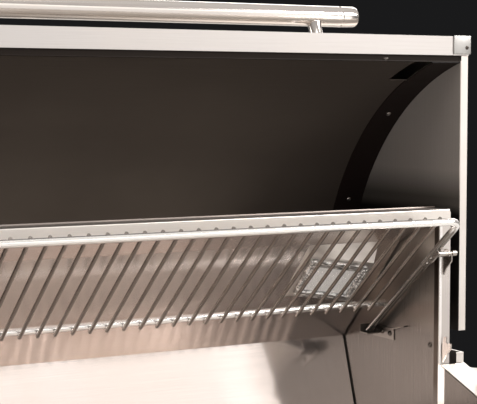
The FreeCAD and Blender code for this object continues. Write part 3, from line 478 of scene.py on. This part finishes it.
def turned(model, rings, origin, axis, segments):
    """A closed turned body: rings of (radius, height); a radius may be a function of the angle."""
    axis = axis.normalized()
    u, v = side_axes(axis)
    loops = []
    for radius, height in rings:
        middle = origin + axis * height
        if not callable(radius) and radius <= 0:
            loops.append([model.verts.new(middle)])
            continue
        loop = []
        for i in range(segments):
            angle = 2 * math.pi * i / segments
            r = radius(angle) if callable(radius) else radius
            loop.append(model.verts.new(middle + u * (r * math.cos(angle)) + v * (r * math.sin(angle))))
        loops.append(loop)
    for below, above in zip(loops, loops[1:]):
        for i in range(segments):
            j = (i + 1) % segments
            corners = [below[i % len(below)], below[j % len(below)], above[j % len(above)],
                       above[i % len(above)]]
            distinct = list(dict.fromkeys(corners))
            if len(distinct) > 2:
                model.faces.new(distinct)
    for loop in (loops[0], loops[-1]):
        if len(loop) > 1:
            model.faces.new(loop)


def block(model, lo, hi, rounding, segments=2):
    """A box between two corners, with rounded edges."""
    made = bmesh.ops.create_cube(model, size=1.0)["verts"]
    bmesh.ops.scale(model, vec=hi - lo, verts=made)
    edges = list({e for v in made for e in v.link_edges})
    result = bmesh.ops.bevel(model, geom=edges, offset=rounding, segments=segments, profile=0.5,
                             affect="EDGES")
    made = list({v for f in result["faces"] for v in f.verts} | {v for v in made if v.is_valid})
    bmesh.ops.translate(model, verts=made, vec=(lo + hi) / 2)


def slab(model, below, above):
    """A closed solid between two rings of the same number of points."""
    low = [model.verts.new(p) for p in below]
    high = [model.verts.new(p) for p in above]
    model.faces.new(low)
    model.faces.new(high)
    for i in range(len(low)):
        j = (i + 1) % len(low)
        model.faces.new([low[i], low[j], high[j], high[i]])


def islands(node):
    """The separate solids of a CAD node from left to right, each as its sorted corner points."""
    model = bmesh.new()
    model.from_mesh(NODES[node].data)
    bmesh.ops.remove_doubles(model, verts=model.verts, dist=1e-6)
    left = set(model.verts)
    found = []
    while left:
        grown = {left.pop()}
        edge = set(grown)
        while edge:
            edge = {e.other_vert(v) for v in edge for e in v.link_edges} - grown
            grown |= edge
        left -= grown
        found.append(sorted((v.co.copy() for v in grown), key=tuple))
    model.free()
    return sorted(found, key=lambda points: (sum(p.x for p in points) / len(points), tuple(points[0])))


def extent(points):
    lo = Vector([min(p[i] for p in points) for i in range(3)])
    hi = Vector([max(p[i] for p in points) for i in range(3)])
    return lo, hi


def middle_of(points):
    lo, hi = extent(points)
    return (lo + hi) / 2


def joint_of(name):
    found = next(j for j in frame["joints"] if j["name"] == name)
    return Vector(found["pos_m"]), Vector(found["axis"]).normalized()


def screw(model, seat, axis, radius, height):
    """A pan head with a cross recess."""
    arm = radius * 0.52
    slot = radius * 0.14

    def cross(angle):
        folded = abs((angle + math.pi / 4) % (math.pi / 2) - math.pi / 4)
        return min(arm / math.cos(folded), slot / max(math.sin(folded), 1e-6))

    rings = [(radius, 0.0), (radius, height * 0.35), (radius * 0.94, height * 0.68),
             (radius * 0.78, height * 0.92), (radius * 0.6, height), (cross, height),
             (lambda angle: cross(angle) * 0.8, height * 0.35), (0.0, height * 0.3)]
    turned(model, rings, seat, axis, 48)


# ---- hood trim: rivets, corner clips, handle and gauge ----------------------------
HOOD_AXIS = mm(0, -100.8, 322.7)     # middle of the hood's curve


def outward(point):
    """From the hood's middle line through a point on its curve."""
    return Vector((0, point.y - HOOD_AXIS.y, point.z - HOOD_AXIS.z)).normalized()


def liner_rivets():
    """Blind rivets: low domed heads with a hollow where the stem snapped off."""
    model = bmesh.new()
    for points in islands("liner_rivets"):
        middle = middle_of(points)
        inward = -outward(middle)
        seat = middle - inward * mm(0.8)
        radius = mm(3.2)
        rings = [(radius, 0.0), (radius, mm(0.35)), (radius * 0.85, mm(1.0)), (radius * 0.6, mm(1.4)),
                 (radius * 0.42, mm(1.55)), (radius * 0.36, mm(1.5)), (radius * 0.3, mm(0.9)),
                 (radius * 0.26, mm(0.7)), (radius * 0.14, mm(1.0)), (0.0, mm(1.05))]
        turned(model, rings, seat, inward, 28)
    piece("pop_rivets", model, "rivet", "hood", "rivet_aluminium", "liner_rivets")


def corner_clips():
    """Folded corner caps over the ends of the lip, each with a small screw."""
    for name, points in zip(("corner_clip_left", "corner_clip_right"), islands("corner_clips")):
        lo, hi = extent(points)
        model = bmesh.new()
        block(model, lo, hi, mm(1.0), segments=3)
        side = 1 if lo.x > 0 else -1
        outer = hi.x if side > 0 else lo.x
        seat = Vector((outer - side * mm(6.2), lo.y + mm(0.05), lo.z + mm(7.8)))
        piece(name, model, "clip", "hood", "clip_aluminium", "corner_clips", sharp=50.0)
        model = bmesh.new()
        screw(model, seat, -Y, mm(2.3), mm(0.9))
        piece(name + "_screw", model, "screw", "hood", "polished_steel")


def handle():
    """Round bar with domed ends on two posts with flared feet."""
    parts = islands("hood_handle")
    bar = max(parts, key=lambda points: extent(points)[1].x - extent(points)[0].x)
    lo, hi = extent(bar)
    radius = (hi.z - lo.z) / 2
    start = Vector((lo.x, (lo.y + hi.y) / 2, (lo.z + hi.z) / 2))
    length = hi.x - lo.x
    model = bmesh.new()
    ends = [(0.0, 0.0), (radius * 0.72, mm(0.2)), (radius * 0.92, mm(1.4)), (radius, mm(4.0))]
    groove = [(radius, mm(22.0)), (radius * 0.94, mm(22.6)), (radius * 0.94, mm(24.0)), (radius, mm(24.6))]
    rings = ends + groove
    rings += [(r, length - h) for r, h in reversed(rings)]
    turned(model, rings, start, X, 48)
    piece("handle_bar", model, "polished", "hood", "polished_steel", "hood_handle", sharp=40.0)
    out = outward(start)
    for name, post in (("handle_post_left", parts[0]), ("handle_post_right", parts[-1])):
        middle = middle_of(post)
        foot = Vector((middle.x, start.y, start.z)) - out * mm(48.0)
        model = bmesh.new()
        rings = [(mm(13.0), -mm(0.4)), (mm(13.0), mm(1.6)), (mm(11.5), mm(3.2)), (mm(8.6), mm(5.5)),
                 (mm(7.6), mm(9.0)), (mm(7.2), mm(22.0)), (mm(7.6), mm(31.0)), (mm(8.8), mm(38.0))]
        turned(model, rings, foot, out, 40)
        piece(name, model, "polished", "hood", "polished_steel", sharp=40.0)


SEGMENTS = {"0": "abcdef", "2": "abged", "4": "fgbc", "5": "afgcd", "6": "afgedc"}


def digit(model, character, corner, right, up, width):
    """A seven-bar digit made of thin raised bars; corner is its lower left."""
    height = width * 1.8
    bar = width * 0.17
    lift = right.cross(up) * mm(0.12)
    half = height / 2
    spots = {"a": (0, height, 1), "d": (0, 0, 1), "g": (0, half, 1), "b": (width, half, 0),
             "c": (width, 0, 0), "f": (0, half, 0), "e": (0, 0, 0)}
    for key in SEGMENTS[character]:
        x, y, flat = spots[key]
        along = right if flat else up
        across = up if flat else right
        length = width if flat else half
        base = corner + right * x + up * y
        ring = [base + along * (bar * 0.7), base + along * bar * 1.2 + across * bar / 2,
                base + along * (length - bar * 1.2) + across * bar / 2, base + along * (length - bar * 0.7),
                base + along * (length - bar * 1.2) - across * bar / 2,
                base + along * bar * 1.2 - across * bar / 2]
        slab(model, ring, [p + lift for p in ring])


SCALE_START = 225.0      # degrees, lower left; the scale runs clockwise
SCALE_STEP = 6.0
SCALE_TICKS = 46
DIAL_TOP = mm(3.8)       # printed face, above the gauge's foot
INK = mm(0.12)


def gauge_scale(model, face, right, up):
    """Ticks round the dial, every fifth one longer, and three plain numbers."""
    out = right.cross(up)
    printed = face + out * DIAL_TOP

    def spoke_at(degrees):
        angle = math.radians(degrees)
        return right * math.cos(angle) + up * math.sin(angle)

    for i in range(SCALE_TICKS):
        spoke = spoke_at(SCALE_START - i * SCALE_STEP)
        cross = out.cross(spoke)
        major = i % 5 == 0
        inner = mm(25.0 if major else 27.5)
        outer = mm(30.5)
        half = mm(1.5 if major else 0.8) / 2
        ring = [printed + spoke * reach + cross * side
                for reach, side in ((inner, -half), (outer, -half), (outer, half), (inner, half))]
        slab(model, ring, [p + out * INK for p in ring])
    for text, degrees in (("200", 162), ("400", 90), ("600", 18)):
        start = printed + spoke_at(degrees) * mm(17.5) - right * mm(6.0) - up * mm(2.7)
        for k, character in enumerate(text):
            digit(model, character, start + right * mm(4.5) * k, right, up, mm(3.0))


def gauge_needle(model, hub, out, right, up):
    """Tapered pointer with a tail and a turned boss."""
    outline = [(mm(1.6), -mm(9.0)), (mm(2.0), 0.0), (mm(0.35), mm(25.5))]
    ring = outline + [(-half, along) for half, along in reversed(outline)]
    slab(model, [hub + right * a + up * b + out * mm(0.15) for a, b in ring],
         [hub + right * a * 0.55 + up * b + out * mm(0.85) for a, b in ring])
    turned(model, [(mm(3.4), 0.0), (mm(3.4), mm(0.8)), (mm(2.8), mm(1.5)), (mm(1.4), mm(1.9)),
                   (0.0, mm(2.0))], hub, out, 28)


def gauge():
    """Dial thermometer: turned bezel, printed dial, tapered needle and a domed glass."""
    hub, out = joint_of("gauge_pointer_turn")
    face = hub - out * mm(5.0)
    right = X
    up = out.cross(right).normalized()
    model = bmesh.new()
    rings = [(mm(38.0), -mm(2.2)), (mm(38.0), mm(8.0)), (mm(37.2), mm(10.6)), (mm(35.6), mm(11.8)),
             (mm(34.2), mm(11.6)), (mm(33.2), mm(10.4)), (mm(32.9), mm(3.4)), (0.0, mm(3.4))]
    turned(model, rings, face, out, 72)
    piece("gauge_bezel", model, "polished", "hood", "polished_steel", "gauge_case", sharp=50.0)
    model = bmesh.new()
    turned(model, [(mm(32.5), mm(3.42)), (mm(32.5), DIAL_TOP), (0.0, DIAL_TOP)], face, out, 72)
    piece("gauge_dial", model, "dial", "hood", "satin_steel")
    model = bmesh.new()
    gauge_scale(model, face, right, up)
    piece("gauge_ticks", model, "tick", "hood", "black_plastic")
    model = bmesh.new()
    gauge_needle(model, hub, out, right, up)
    piece("gauge_needle_pointer", model, "needle", "gauge_pointer", "needle_paint", "gauge_needle")
    model = bmesh.new()
    rings = [(0.0, mm(9.0)), (mm(32.8), mm(9.0)), (mm(32.8), mm(9.6)), (mm(26.0), mm(10.3)),
             (mm(14.0), mm(10.9)), (0.0, mm(11.1))]
    turned(model, rings, face, out, 72)
    piece("gauge_cover", model, "cover", "hood", "lamp_glass", "gauge_glass")


# ---- lamps ------------------------------------------------------------------------
LENS_CORNER = mm(6.0)      # radius of the lens's outer corners
LENS_TOP = 4.25            # height of the flat rim, in millimetres above the foot
BEAD = mm(2.1)             # radius of a moulded bead
BEAD_COLUMNS = ((mm(3.2), 0.0), (mm(7.4), 0.5))     # distance from the end, shift in beads
RIB_PITCH = mm(4.2)


def lens_frame(points):
    """Inner top corner of a lens block and its edge vectors: across, down the panel, outward."""
    corner = min(points, key=lambda p: (abs(p.x), -p.z))
    rest = sorted((p - corner for p in points if (p - corner).length > 1e-5), key=lambda v: v.length)
    thin = rest[0]
    flat = [v for v in rest[1:] if abs(v.normalized().dot(thin.normalized())) < 1e-3]
    down, across = sorted(flat[:2], key=lambda v: abs(v.x))
    if down.z > 0:
        corner += down
        down = -down
    if thin.y > 0:
        corner += thin
        thin = -thin
    return corner, across, down, thin


def rounded_outline(width, height, inset, corner, count):
    """Points round a rectangle with rounded corners, evenly by angle and side."""
    radius = max(corner - inset, mm(0.6))
    w = width - 2 * inset
    h = height - 2 * inset
    sides = [(w - 2 * radius, (1, 0)), (h - 2 * radius, (0, 1)), (w - 2 * radius, (-1, 0)),
             (h - 2 * radius, (0, -1))]
    x = inset + radius
    y = inset
    heading = 0.0
    points = []
    for length, (dx, dy) in sides:
        for i in range(count):
            points.append((x + dx * length * i / count, y + dy * length * i / count))
        x += dx * length
        y += dy * length
        centre = (x - dy * radius, y + dx * radius)
        for i in range(count // 5):
            angle = heading - math.pi / 2 + (math.pi / 2) * i / (count // 5)
            points.append((centre[0] + radius * math.cos(angle), centre[1] + radius * math.sin(angle)))
        heading += math.pi / 2
        angle = heading - math.pi / 2
        x = centre[0] + radius * math.cos(angle)
        y = centre[1] + radius * math.sin(angle)
    return points


def lens_height(x, y, width, height, draw):
    """How high the pressed pattern stands: beads along both ends, ribs along the long edges."""
    end = min(x, width - x)
    edge = min(y, height - y)
    if end < edge:
        best = 0.0
        for column, shift in BEAD_COLUMNS:
            row = round(y / (2.1 * BEAD) - shift) + shift
            off = math.hypot(end - column, y - row * 2.1 * BEAD)
            best = max(best, math.sqrt(max(0.0, 1 - (off / BEAD) ** 2)))
        return mm(1.5) * best * draw
    return mm(0.5) * (1 + math.cos(2 * math.pi * edge / RIB_PITCH)) / 2


def lens_rim(model, spot, width, height):
    """The pressed border: a closed ring whose beads and ribs stand up to different heights."""
    draws = random.Random(7)
    levels = [(0.0, 0.4), (0.0, 2.6), (0.7, 3.9)]
    levels += [(1.3 + 0.65 * i, LENS_TOP) for i in range(13)]
    levels += [(9.8, 3.9), (10.4, 2.4), (10.4, 0.4)]
    loops = []
    for inset, level in levels:
        loop = []
        for x, y in rounded_outline(width, height, mm(inset), LENS_CORNER, 150):
            relief = 0.0
            if 1.0 < inset < 9.7:
                relief = lens_height(x, y, width, height, draws.uniform(0.75, 1.0))
            loop.append(model.verts.new(spot(x, y, mm(level) + relief)))
        loops.append(loop)
    for below, above in zip(loops, loops[1:] + loops[:1]):
        for i in range(len(below)):
            j = (i + 1) % len(below)
            model.faces.new([below[i], below[j], above[j], above[i]])


def reflector_trough(model, spot, width, height):
    """A dished sheet behind the lens."""
    steps = 12
    margin = mm(8.0)
    grid = []
    for i in range(steps + 1):
        v = i / steps
        y = margin + (height - 2 * margin) * v
        row = [(margin, 2.0), (width * 0.4, 2.2), (width - margin, 3.0)]
        grid.append([model.verts.new(spot(x, y, -mm(deep) * math.sin(math.pi * v))) for x, deep in row])
    for a, b in zip(grid, grid[1:]):
        for i in range(2):
            model.faces.new([a[i], a[i + 1], b[i + 1], b[i]])
    bmesh.ops.solidify(model, geom=model.faces[:], thickness=-mm(0.5))


def lamp(points, side):
    """Pressed-glass lens with a beaded border and a clear pane, over a bright reflector."""
    corner, across, down, thin = lens_frame(points)
    width = across.length
    height = down.length
    across = across.normalized()
    down = down.normalized()
    out = thin.normalized()

    def spot(x, y, above):
        return corner + across * x + down * y + out * above

    rim = bmesh.new()
    lens_rim(rim, spot, width, height)
    replaced = ("light_lenses",) if side == "right" else ()
    piece("lamp_lens_" + side, rim, "lens", "grill", "lamp_glass", *replaced, sharp=70.0)
    pane = bmesh.new()
    outline = rounded_outline(width, height, mm(10.5), mm(12.0), 20)
    slab(pane, *[[spot(x, y, mm(level)) for x, y in outline] for level in (1.0, 2.6)])
    piece("lamp_pane_" + side, pane, "pane", "grill", "lamp_glass")
    tray = bmesh.new()
    reflector_trough(tray, spot, width, height)
    piece("lamp_reflector_" + side, tray, "mirror", "grill", "polished_steel")


def bulbs():
    """Small tube lamps with pinched ends and a straight filament."""
    glass = bmesh.new()
    wire = bmesh.new()
    for points in islands("lamp_bulbs"):
        middle = middle_of(points)
        half = len(points) // 2
        axis = (middle_of(points[half:]) - middle_of(points[:half])).normalized()
        length = mm(22.0)
        start = middle - axis * length / 2
        rings = [(0.0, 0.0), (mm(1.0), 0.0), (mm(1.2), mm(2.4)), (mm(3.0), mm(4.4)), (mm(3.3), mm(6.5)),
                 (mm(3.3), length - mm(6.5)), (mm(3.0), length - mm(4.4)), (mm(1.2), length - mm(2.4)),
                 (mm(1.0), length), (0.0, length)]
        turned(glass, rings, start, axis, 24)
        turned(wire, [(0.0, mm(2.5)), (mm(0.5), mm(2.5)), (mm(0.5), length - mm(2.5)),
                      (0.0, length - mm(2.5))], start, axis, 10)
    piece("lamp_tubes", glass, "bulb", "grill", "bulb_glass", "lamp_bulbs")
    piece("lamp_filaments", wire, "mirror", "grill", "polished_steel")


def lamps():
    for side, points in zip(("left", "right"), islands("light_lenses")):
        lamp(points, side)
    bulbs()


# ---- fasteners and louvres --------------------------------------------------------
def wall_screws():
    model = bmesh.new()
    for points in islands("wall_screws"):
        lo, hi = extent(points)
        side = 1 if lo.x > 0 else -1
        seat = Vector((hi.x if side > 0 else lo.x, (lo.y + hi.y) / 2, (lo.z + hi.z) / 2))
        screw(model, seat, -X * side, (hi.z - lo.z) / 2, hi.x - lo.x)
    piece("wall_screw_heads", model, "screw", "grill", "polished_steel", "wall_screws")


def panel_screws():
    """Screws along the back panel, the control panel and the hopper."""
    lo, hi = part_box("back_panel")
    model = bmesh.new()
    inset = mm(12.0)
    for i in range(7):
        x = lo.x + inset + (hi.x - lo.x - 2 * inset) * i / 6
        for z in (lo.z + inset, hi.z - inset):
            screw(model, Vector((x, hi.y, z)), Y, mm(3.4), mm(1.8))
    piece("back_panel_screws", model, "polished", "grill", "polished_steel")
    lo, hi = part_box("control_panel")
    model = bmesh.new()
    front = lo.y + mm(3.0)
    for x in (lo.x + mm(7.0), hi.x - mm(7.0)):
        for z in (lo.z + mm(7.0), hi.z - mm(7.0)):
            screw(model, Vector((x, front, z)), -Y, mm(2.6), mm(1.4))
    piece("control_panel_screws", model, "polished", "grill", "polished_steel")
    lo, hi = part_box("hopper_walls")
    model = bmesh.new()
    for y in (lo.y + inset, hi.y - inset):
        for z in (lo.z + inset, (lo.z + hi.z) / 2, hi.z - mm(30.0)):
            screw(model, Vector((lo.x, y, z)), -X, mm(3.0), mm(1.6))
    piece("hopper_screws", model, "polished", "grill", "polished_steel")


# Section of a pressed louvre in millimetres: out of the panel, up from its slot.
LOUVRE = [(0.0, 7.2), (1.6, 6.6), (2.6, 5.0), (2.9, 2.6), (2.3, 2.6), (2.0, 4.6), (1.2, 5.8), (0.0, 6.2)]
LOUVRE_COLUMNS = 11
LOUVRE_PITCH = 60.0
LOUVRE_START = -301.5
LOUVRE_LENGTH = 47.0
LOUVRE_ROWS = (205.0, 220.0, 235.0)


def louvres():
    """Pressed hoods over the cooling slots in the back panel."""
    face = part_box("back_panel")[1].y
    model = bmesh.new()
    for i in range(LOUVRE_COLUMNS):
        x0 = mm(LOUVRE_START + LOUVRE_PITCH * i)
        x1 = x0 + mm(LOUVRE_LENGTH)
        for z in LOUVRE_ROWS:
            slab(model, *[[Vector((x, face + mm(a), mm(z + b))) for a, b in LOUVRE] for x in (x0, x1)])
    piece("louvre_hoods", model, "body", "grill", "brushed_steel", sharp=50.0)


# ---- controls and feed ------------------------------------------------------------
def control_knob():
    """Fluted metal knob with a grip bar and a white mark."""
    pivot, out = joint_of("knob_turn")
    lo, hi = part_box("control_knob")
    back = Vector((pivot.x, hi.y - mm(10.0), pivot.z))

    def fluted(depth):
        return lambda angle: mm(20.9) - mm(depth) * (0.5 + 0.5 * math.cos(30 * angle)) ** 2

    rings = [(mm(18.0), 0.0), (fluted(0.0), mm(0.8)), (fluted(0.9), mm(2.5)), (fluted(0.9), mm(18.0)),
             (mm(20.2), mm(20.5)), (mm(18.8), mm(21.8)), (0.0, mm(22.0))]
    model = bmesh.new()
    turned(model, rings, back, out, 240)
    block(model, Vector((pivot.x - mm(3.2), lo.y, pivot.z - mm(19.0))),
          Vector((pivot.x + mm(3.2), back.y - mm(20.0), pivot.z + mm(19.0))), mm(1.4), segments=3)
    turned(model, [(mm(4.0), -mm(10.0)), (mm(4.0), mm(0.5))], back, out, 24)
    piece("knob_body", model, "polished", "knob", "knob_metal", "control_knob", sharp=45.0)
    model = bmesh.new()
    block(model, Vector((pivot.x - mm(0.7), lo.y, pivot.z + mm(8.0))),
          Vector((pivot.x + mm(0.7), lo.y + mm(1.0), pivot.z + mm(18.2))), mm(0.3))
    piece("knob_mark_line", model, "white", "knob", "knob_metal")


def power_button():
    lo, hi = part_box("power_button")
    centre = (lo + hi) / 2
    seat = Vector((centre.x, hi.y, centre.z))
    depth = hi.y - lo.y
    radius = (hi.x - lo.x) / 2
    rings = [(radius, 0.0), (radius, depth - mm(1.4)), (radius * 0.94, depth - mm(0.5)),
             (radius * 0.84, depth - mm(0.1)), (radius * 0.72, depth - mm(0.2)),
             (radius * 0.68, depth - mm(0.8)), (radius * 0.6, depth - mm(0.8)), (0.0, depth - mm(0.3))]
    model = bmesh.new()
    turned(model, rings, seat, -Y, 48)
    piece("button_cap", model, "polished", "button", "button_metal", "power_button", sharp=45.0)


def display_digits():
    lo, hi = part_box("display_window")
    model = bmesh.new()
    width = mm(11.0)
    step = mm(17.0)
    left = (lo.x + hi.x) / 2 - step - width / 2
    low = (lo.z + hi.z) / 2 - width * 0.9
    for k, character in enumerate("225"):
        digit(model, character, Vector((left + k * step, lo.y - mm(0.02), low)), X, Z, width)
    dot = Vector((left + 3 * step + mm(1.0), lo.y - mm(0.02), low + width * 1.7))
    turned(model, [(mm(1.4), 0.0), (mm(1.4), mm(0.12)), (mm(0.8), mm(0.12)), (mm(0.8), 0.0)], dot, -Y, 24)
    piece("display_digits", model, "digit", "grill", "display_glass")


def auger():
    """Shaft with one continuous helical flight."""
    lo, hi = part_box("auger_screw")
    pivot, _ = joint_of("auger_turn")
    start = Vector((lo.x, pivot.y, pivot.z))
    length = hi.x - lo.x
    pitch = mm(36.0)
    model = bmesh.new()
    shaft = mm(6.0)
    rings = [(0.0, 0.0), (shaft * 0.8, 0.0), (shaft, mm(1.2)), (shaft, length - mm(1.2)),
             (shaft * 0.8, length), (0.0, length)]
    turned(model, rings, start, X, 24)
    first = mm(16.0)
    turns = (length - 2 * first) / pitch
    steps = int(turns * 20)
    sections = []
    for i in range(steps + 1):
        x = lo.x + first + (length - 2 * first) * i / steps
        angle = 2 * math.pi * turns * i / steps
        spoke = Y * math.cos(angle) + Z * math.sin(angle)
        middle = Vector((x, pivot.y, pivot.z))
        sections.append([model.verts.new(middle + spoke * r + X * t) for r, t in
                         ((mm(5.4), -mm(1.6)), (mm(20.2), -mm(1.0)), (mm(20.2), mm(1.0)),
                          (mm(5.4), mm(1.6)))])
    for a, b in zip(sections, sections[1:]):
        for i in range(4):
            j = (i + 1) % 4
            model.faces.new([a[i], a[j], b[j], b[i]])
    model.faces.new(sections[0])
    model.faces.new(sections[-1])
    piece("auger_flight", model, "hot", "auger", "satin_steel", "auger_screw")


# ---- lights, world and floor ------------------------------------------------------
def softbox(name, place, aim, width, height, power, colour=(1.0, 0.965, 0.94)):
    data = bpy.data.lights.new(name, "AREA")
    data.shape = "RECTANGLE"
    data.size = width
    data.size_y = height
    data.energy = power
    data.color = colour
    light = bpy.data.objects.new(name, data)
    light.location = place
    light.rotation_euler = (Vector(aim) - Vector(place)).to_track_quat("-Z", "Y").to_euler()
    light.visible_camera = False
    SCENE.collection.objects.link(light)


def make_world():
    """Pale surroundings, brighter overhead, for the lighting; plain dark grey behind the object."""
    world = bpy.data.worlds.new("studio")
    SCENE.world = world
    world.use_nodes = True
    tree = world.node_tree
    path = tree.nodes.new("ShaderNodeLightPath")
    room = tree.nodes["Background"]
    room.inputs["Color"].default_value = (1.0, 0.955, 0.915, 1.0)
    direction = tree.nodes.new("ShaderNodeTexCoord")
    split = tree.nodes.new("ShaderNodeSeparateXYZ")
    ramp = tree.nodes.new("ShaderNodeMapRange")
    for key, number in (("From Min", 0.0), ("From Max", 0.9), ("To Min", 0.20), ("To Max", 0.75)):
        ramp.inputs[key].default_value = number
    tree.links.new(direction.outputs["Generated"], split.inputs["Vector"])
    tree.links.new(split.outputs["Z"], ramp.inputs["Value"])
    tree.links.new(ramp.outputs["Result"], room.inputs["Strength"])
    plain = tree.nodes.new("ShaderNodeBackground")
    plain.inputs["Color"].default_value = (0.0105, 0.0105, 0.011, 1.0)
    mix = tree.nodes.new("ShaderNodeMixShader")
    tree.links.new(path.outputs["Is Camera Ray"], mix.inputs["Fac"])
    tree.links.new(room.outputs["Background"], mix.inputs[1])
    tree.links.new(plain.outputs["Background"], mix.inputs[2])
    tree.links.new(mix.outputs["Shader"], tree.nodes["World Output"].inputs["Surface"])


def make_floor():
    model = bmesh.new()
    bmesh.ops.create_circle(model, cap_ends=True, segments=128, radius=1.85)
    bmesh.ops.translate(model, verts=model.verts, vec=(0.0, 0.0, -0.0005))
    mesh = bpy.data.meshes.new("floor")
    model.to_mesh(mesh)
    model.free()
    floor = bpy.data.objects.new("floor", mesh)
    SCENE.collection.objects.link(floor)
    s = Shader("floor_paint")
    s.rough(s.spread(s.noise((20.0, 20.0, 20.0)), 0.6, 0.75))
    s.colour(s.blend(s.noise((3.0, 3.0, 3.0), 3.0), (0.60, 0.59, 0.57), (0.65, 0.64, 0.62)))
    mesh.materials.append(s.material)


def card(name, x0, x1, z0, z1, glow):
    """An upright glowing card in front of the grill, for the steel to mirror."""
    power = glow * math.pi * (x1 - x0) * (z1 - z0)
    softbox(name, ((x0 + x1) / 2, -2.0, (z0 + z1) / 2), ((x0 + x1) / 2, 0.0, (z0 + z1) / 2),
            x1 - x0, z1 - z0, power, (1.0, 0.955, 0.92))


def make_lights():
    card("card_upper", 0.2, 1.66, 1.27, 1.75, 1.15)
    card("card_side", 1.46, 1.66, 0.95, 1.27, 1.15)
    card("card_lower", -0.3, 1.45, 0.05, 1.26, 0.85)
    card("card_right", 1.46, 2.4, 0.02, 0.95, 1.7)
    softbox("key", (2.1, -1.7, 1.9), (0.1, 0.0, 0.25), 0.8, 0.8, 60.0)
    softbox("fill_left", (-1.7, -1.7, 0.75), (0.2, 0.1, 0.5), 1.4, 1.2, 24.0)
    softbox("top", (-0.6, -0.7, 2.4), (-0.2, -0.1, 0.3), 2.0, 1.4, 25.0)
    softbox("rear_left", (-1.8, 2.0, 1.4), (0.0, 0.1, 0.3), 1.6, 1.6, 26.0)
    softbox("rear_right", (1.9, 1.8, 1.4), (0.0, 0.1, 0.3), 1.6, 1.6, 26.0)


# ---- put it together --------------------------------------------------------------
SCENE.view_settings.view_transform = "Standard"
make_world()
make_floor()
make_lights()
paint_nodes()
liner_rivets()
corner_clips()
handle()
gauge()
lamps()
wall_screws()
panel_screws()
louvres()
control_knob()
power_button()
display_digits()
auger()
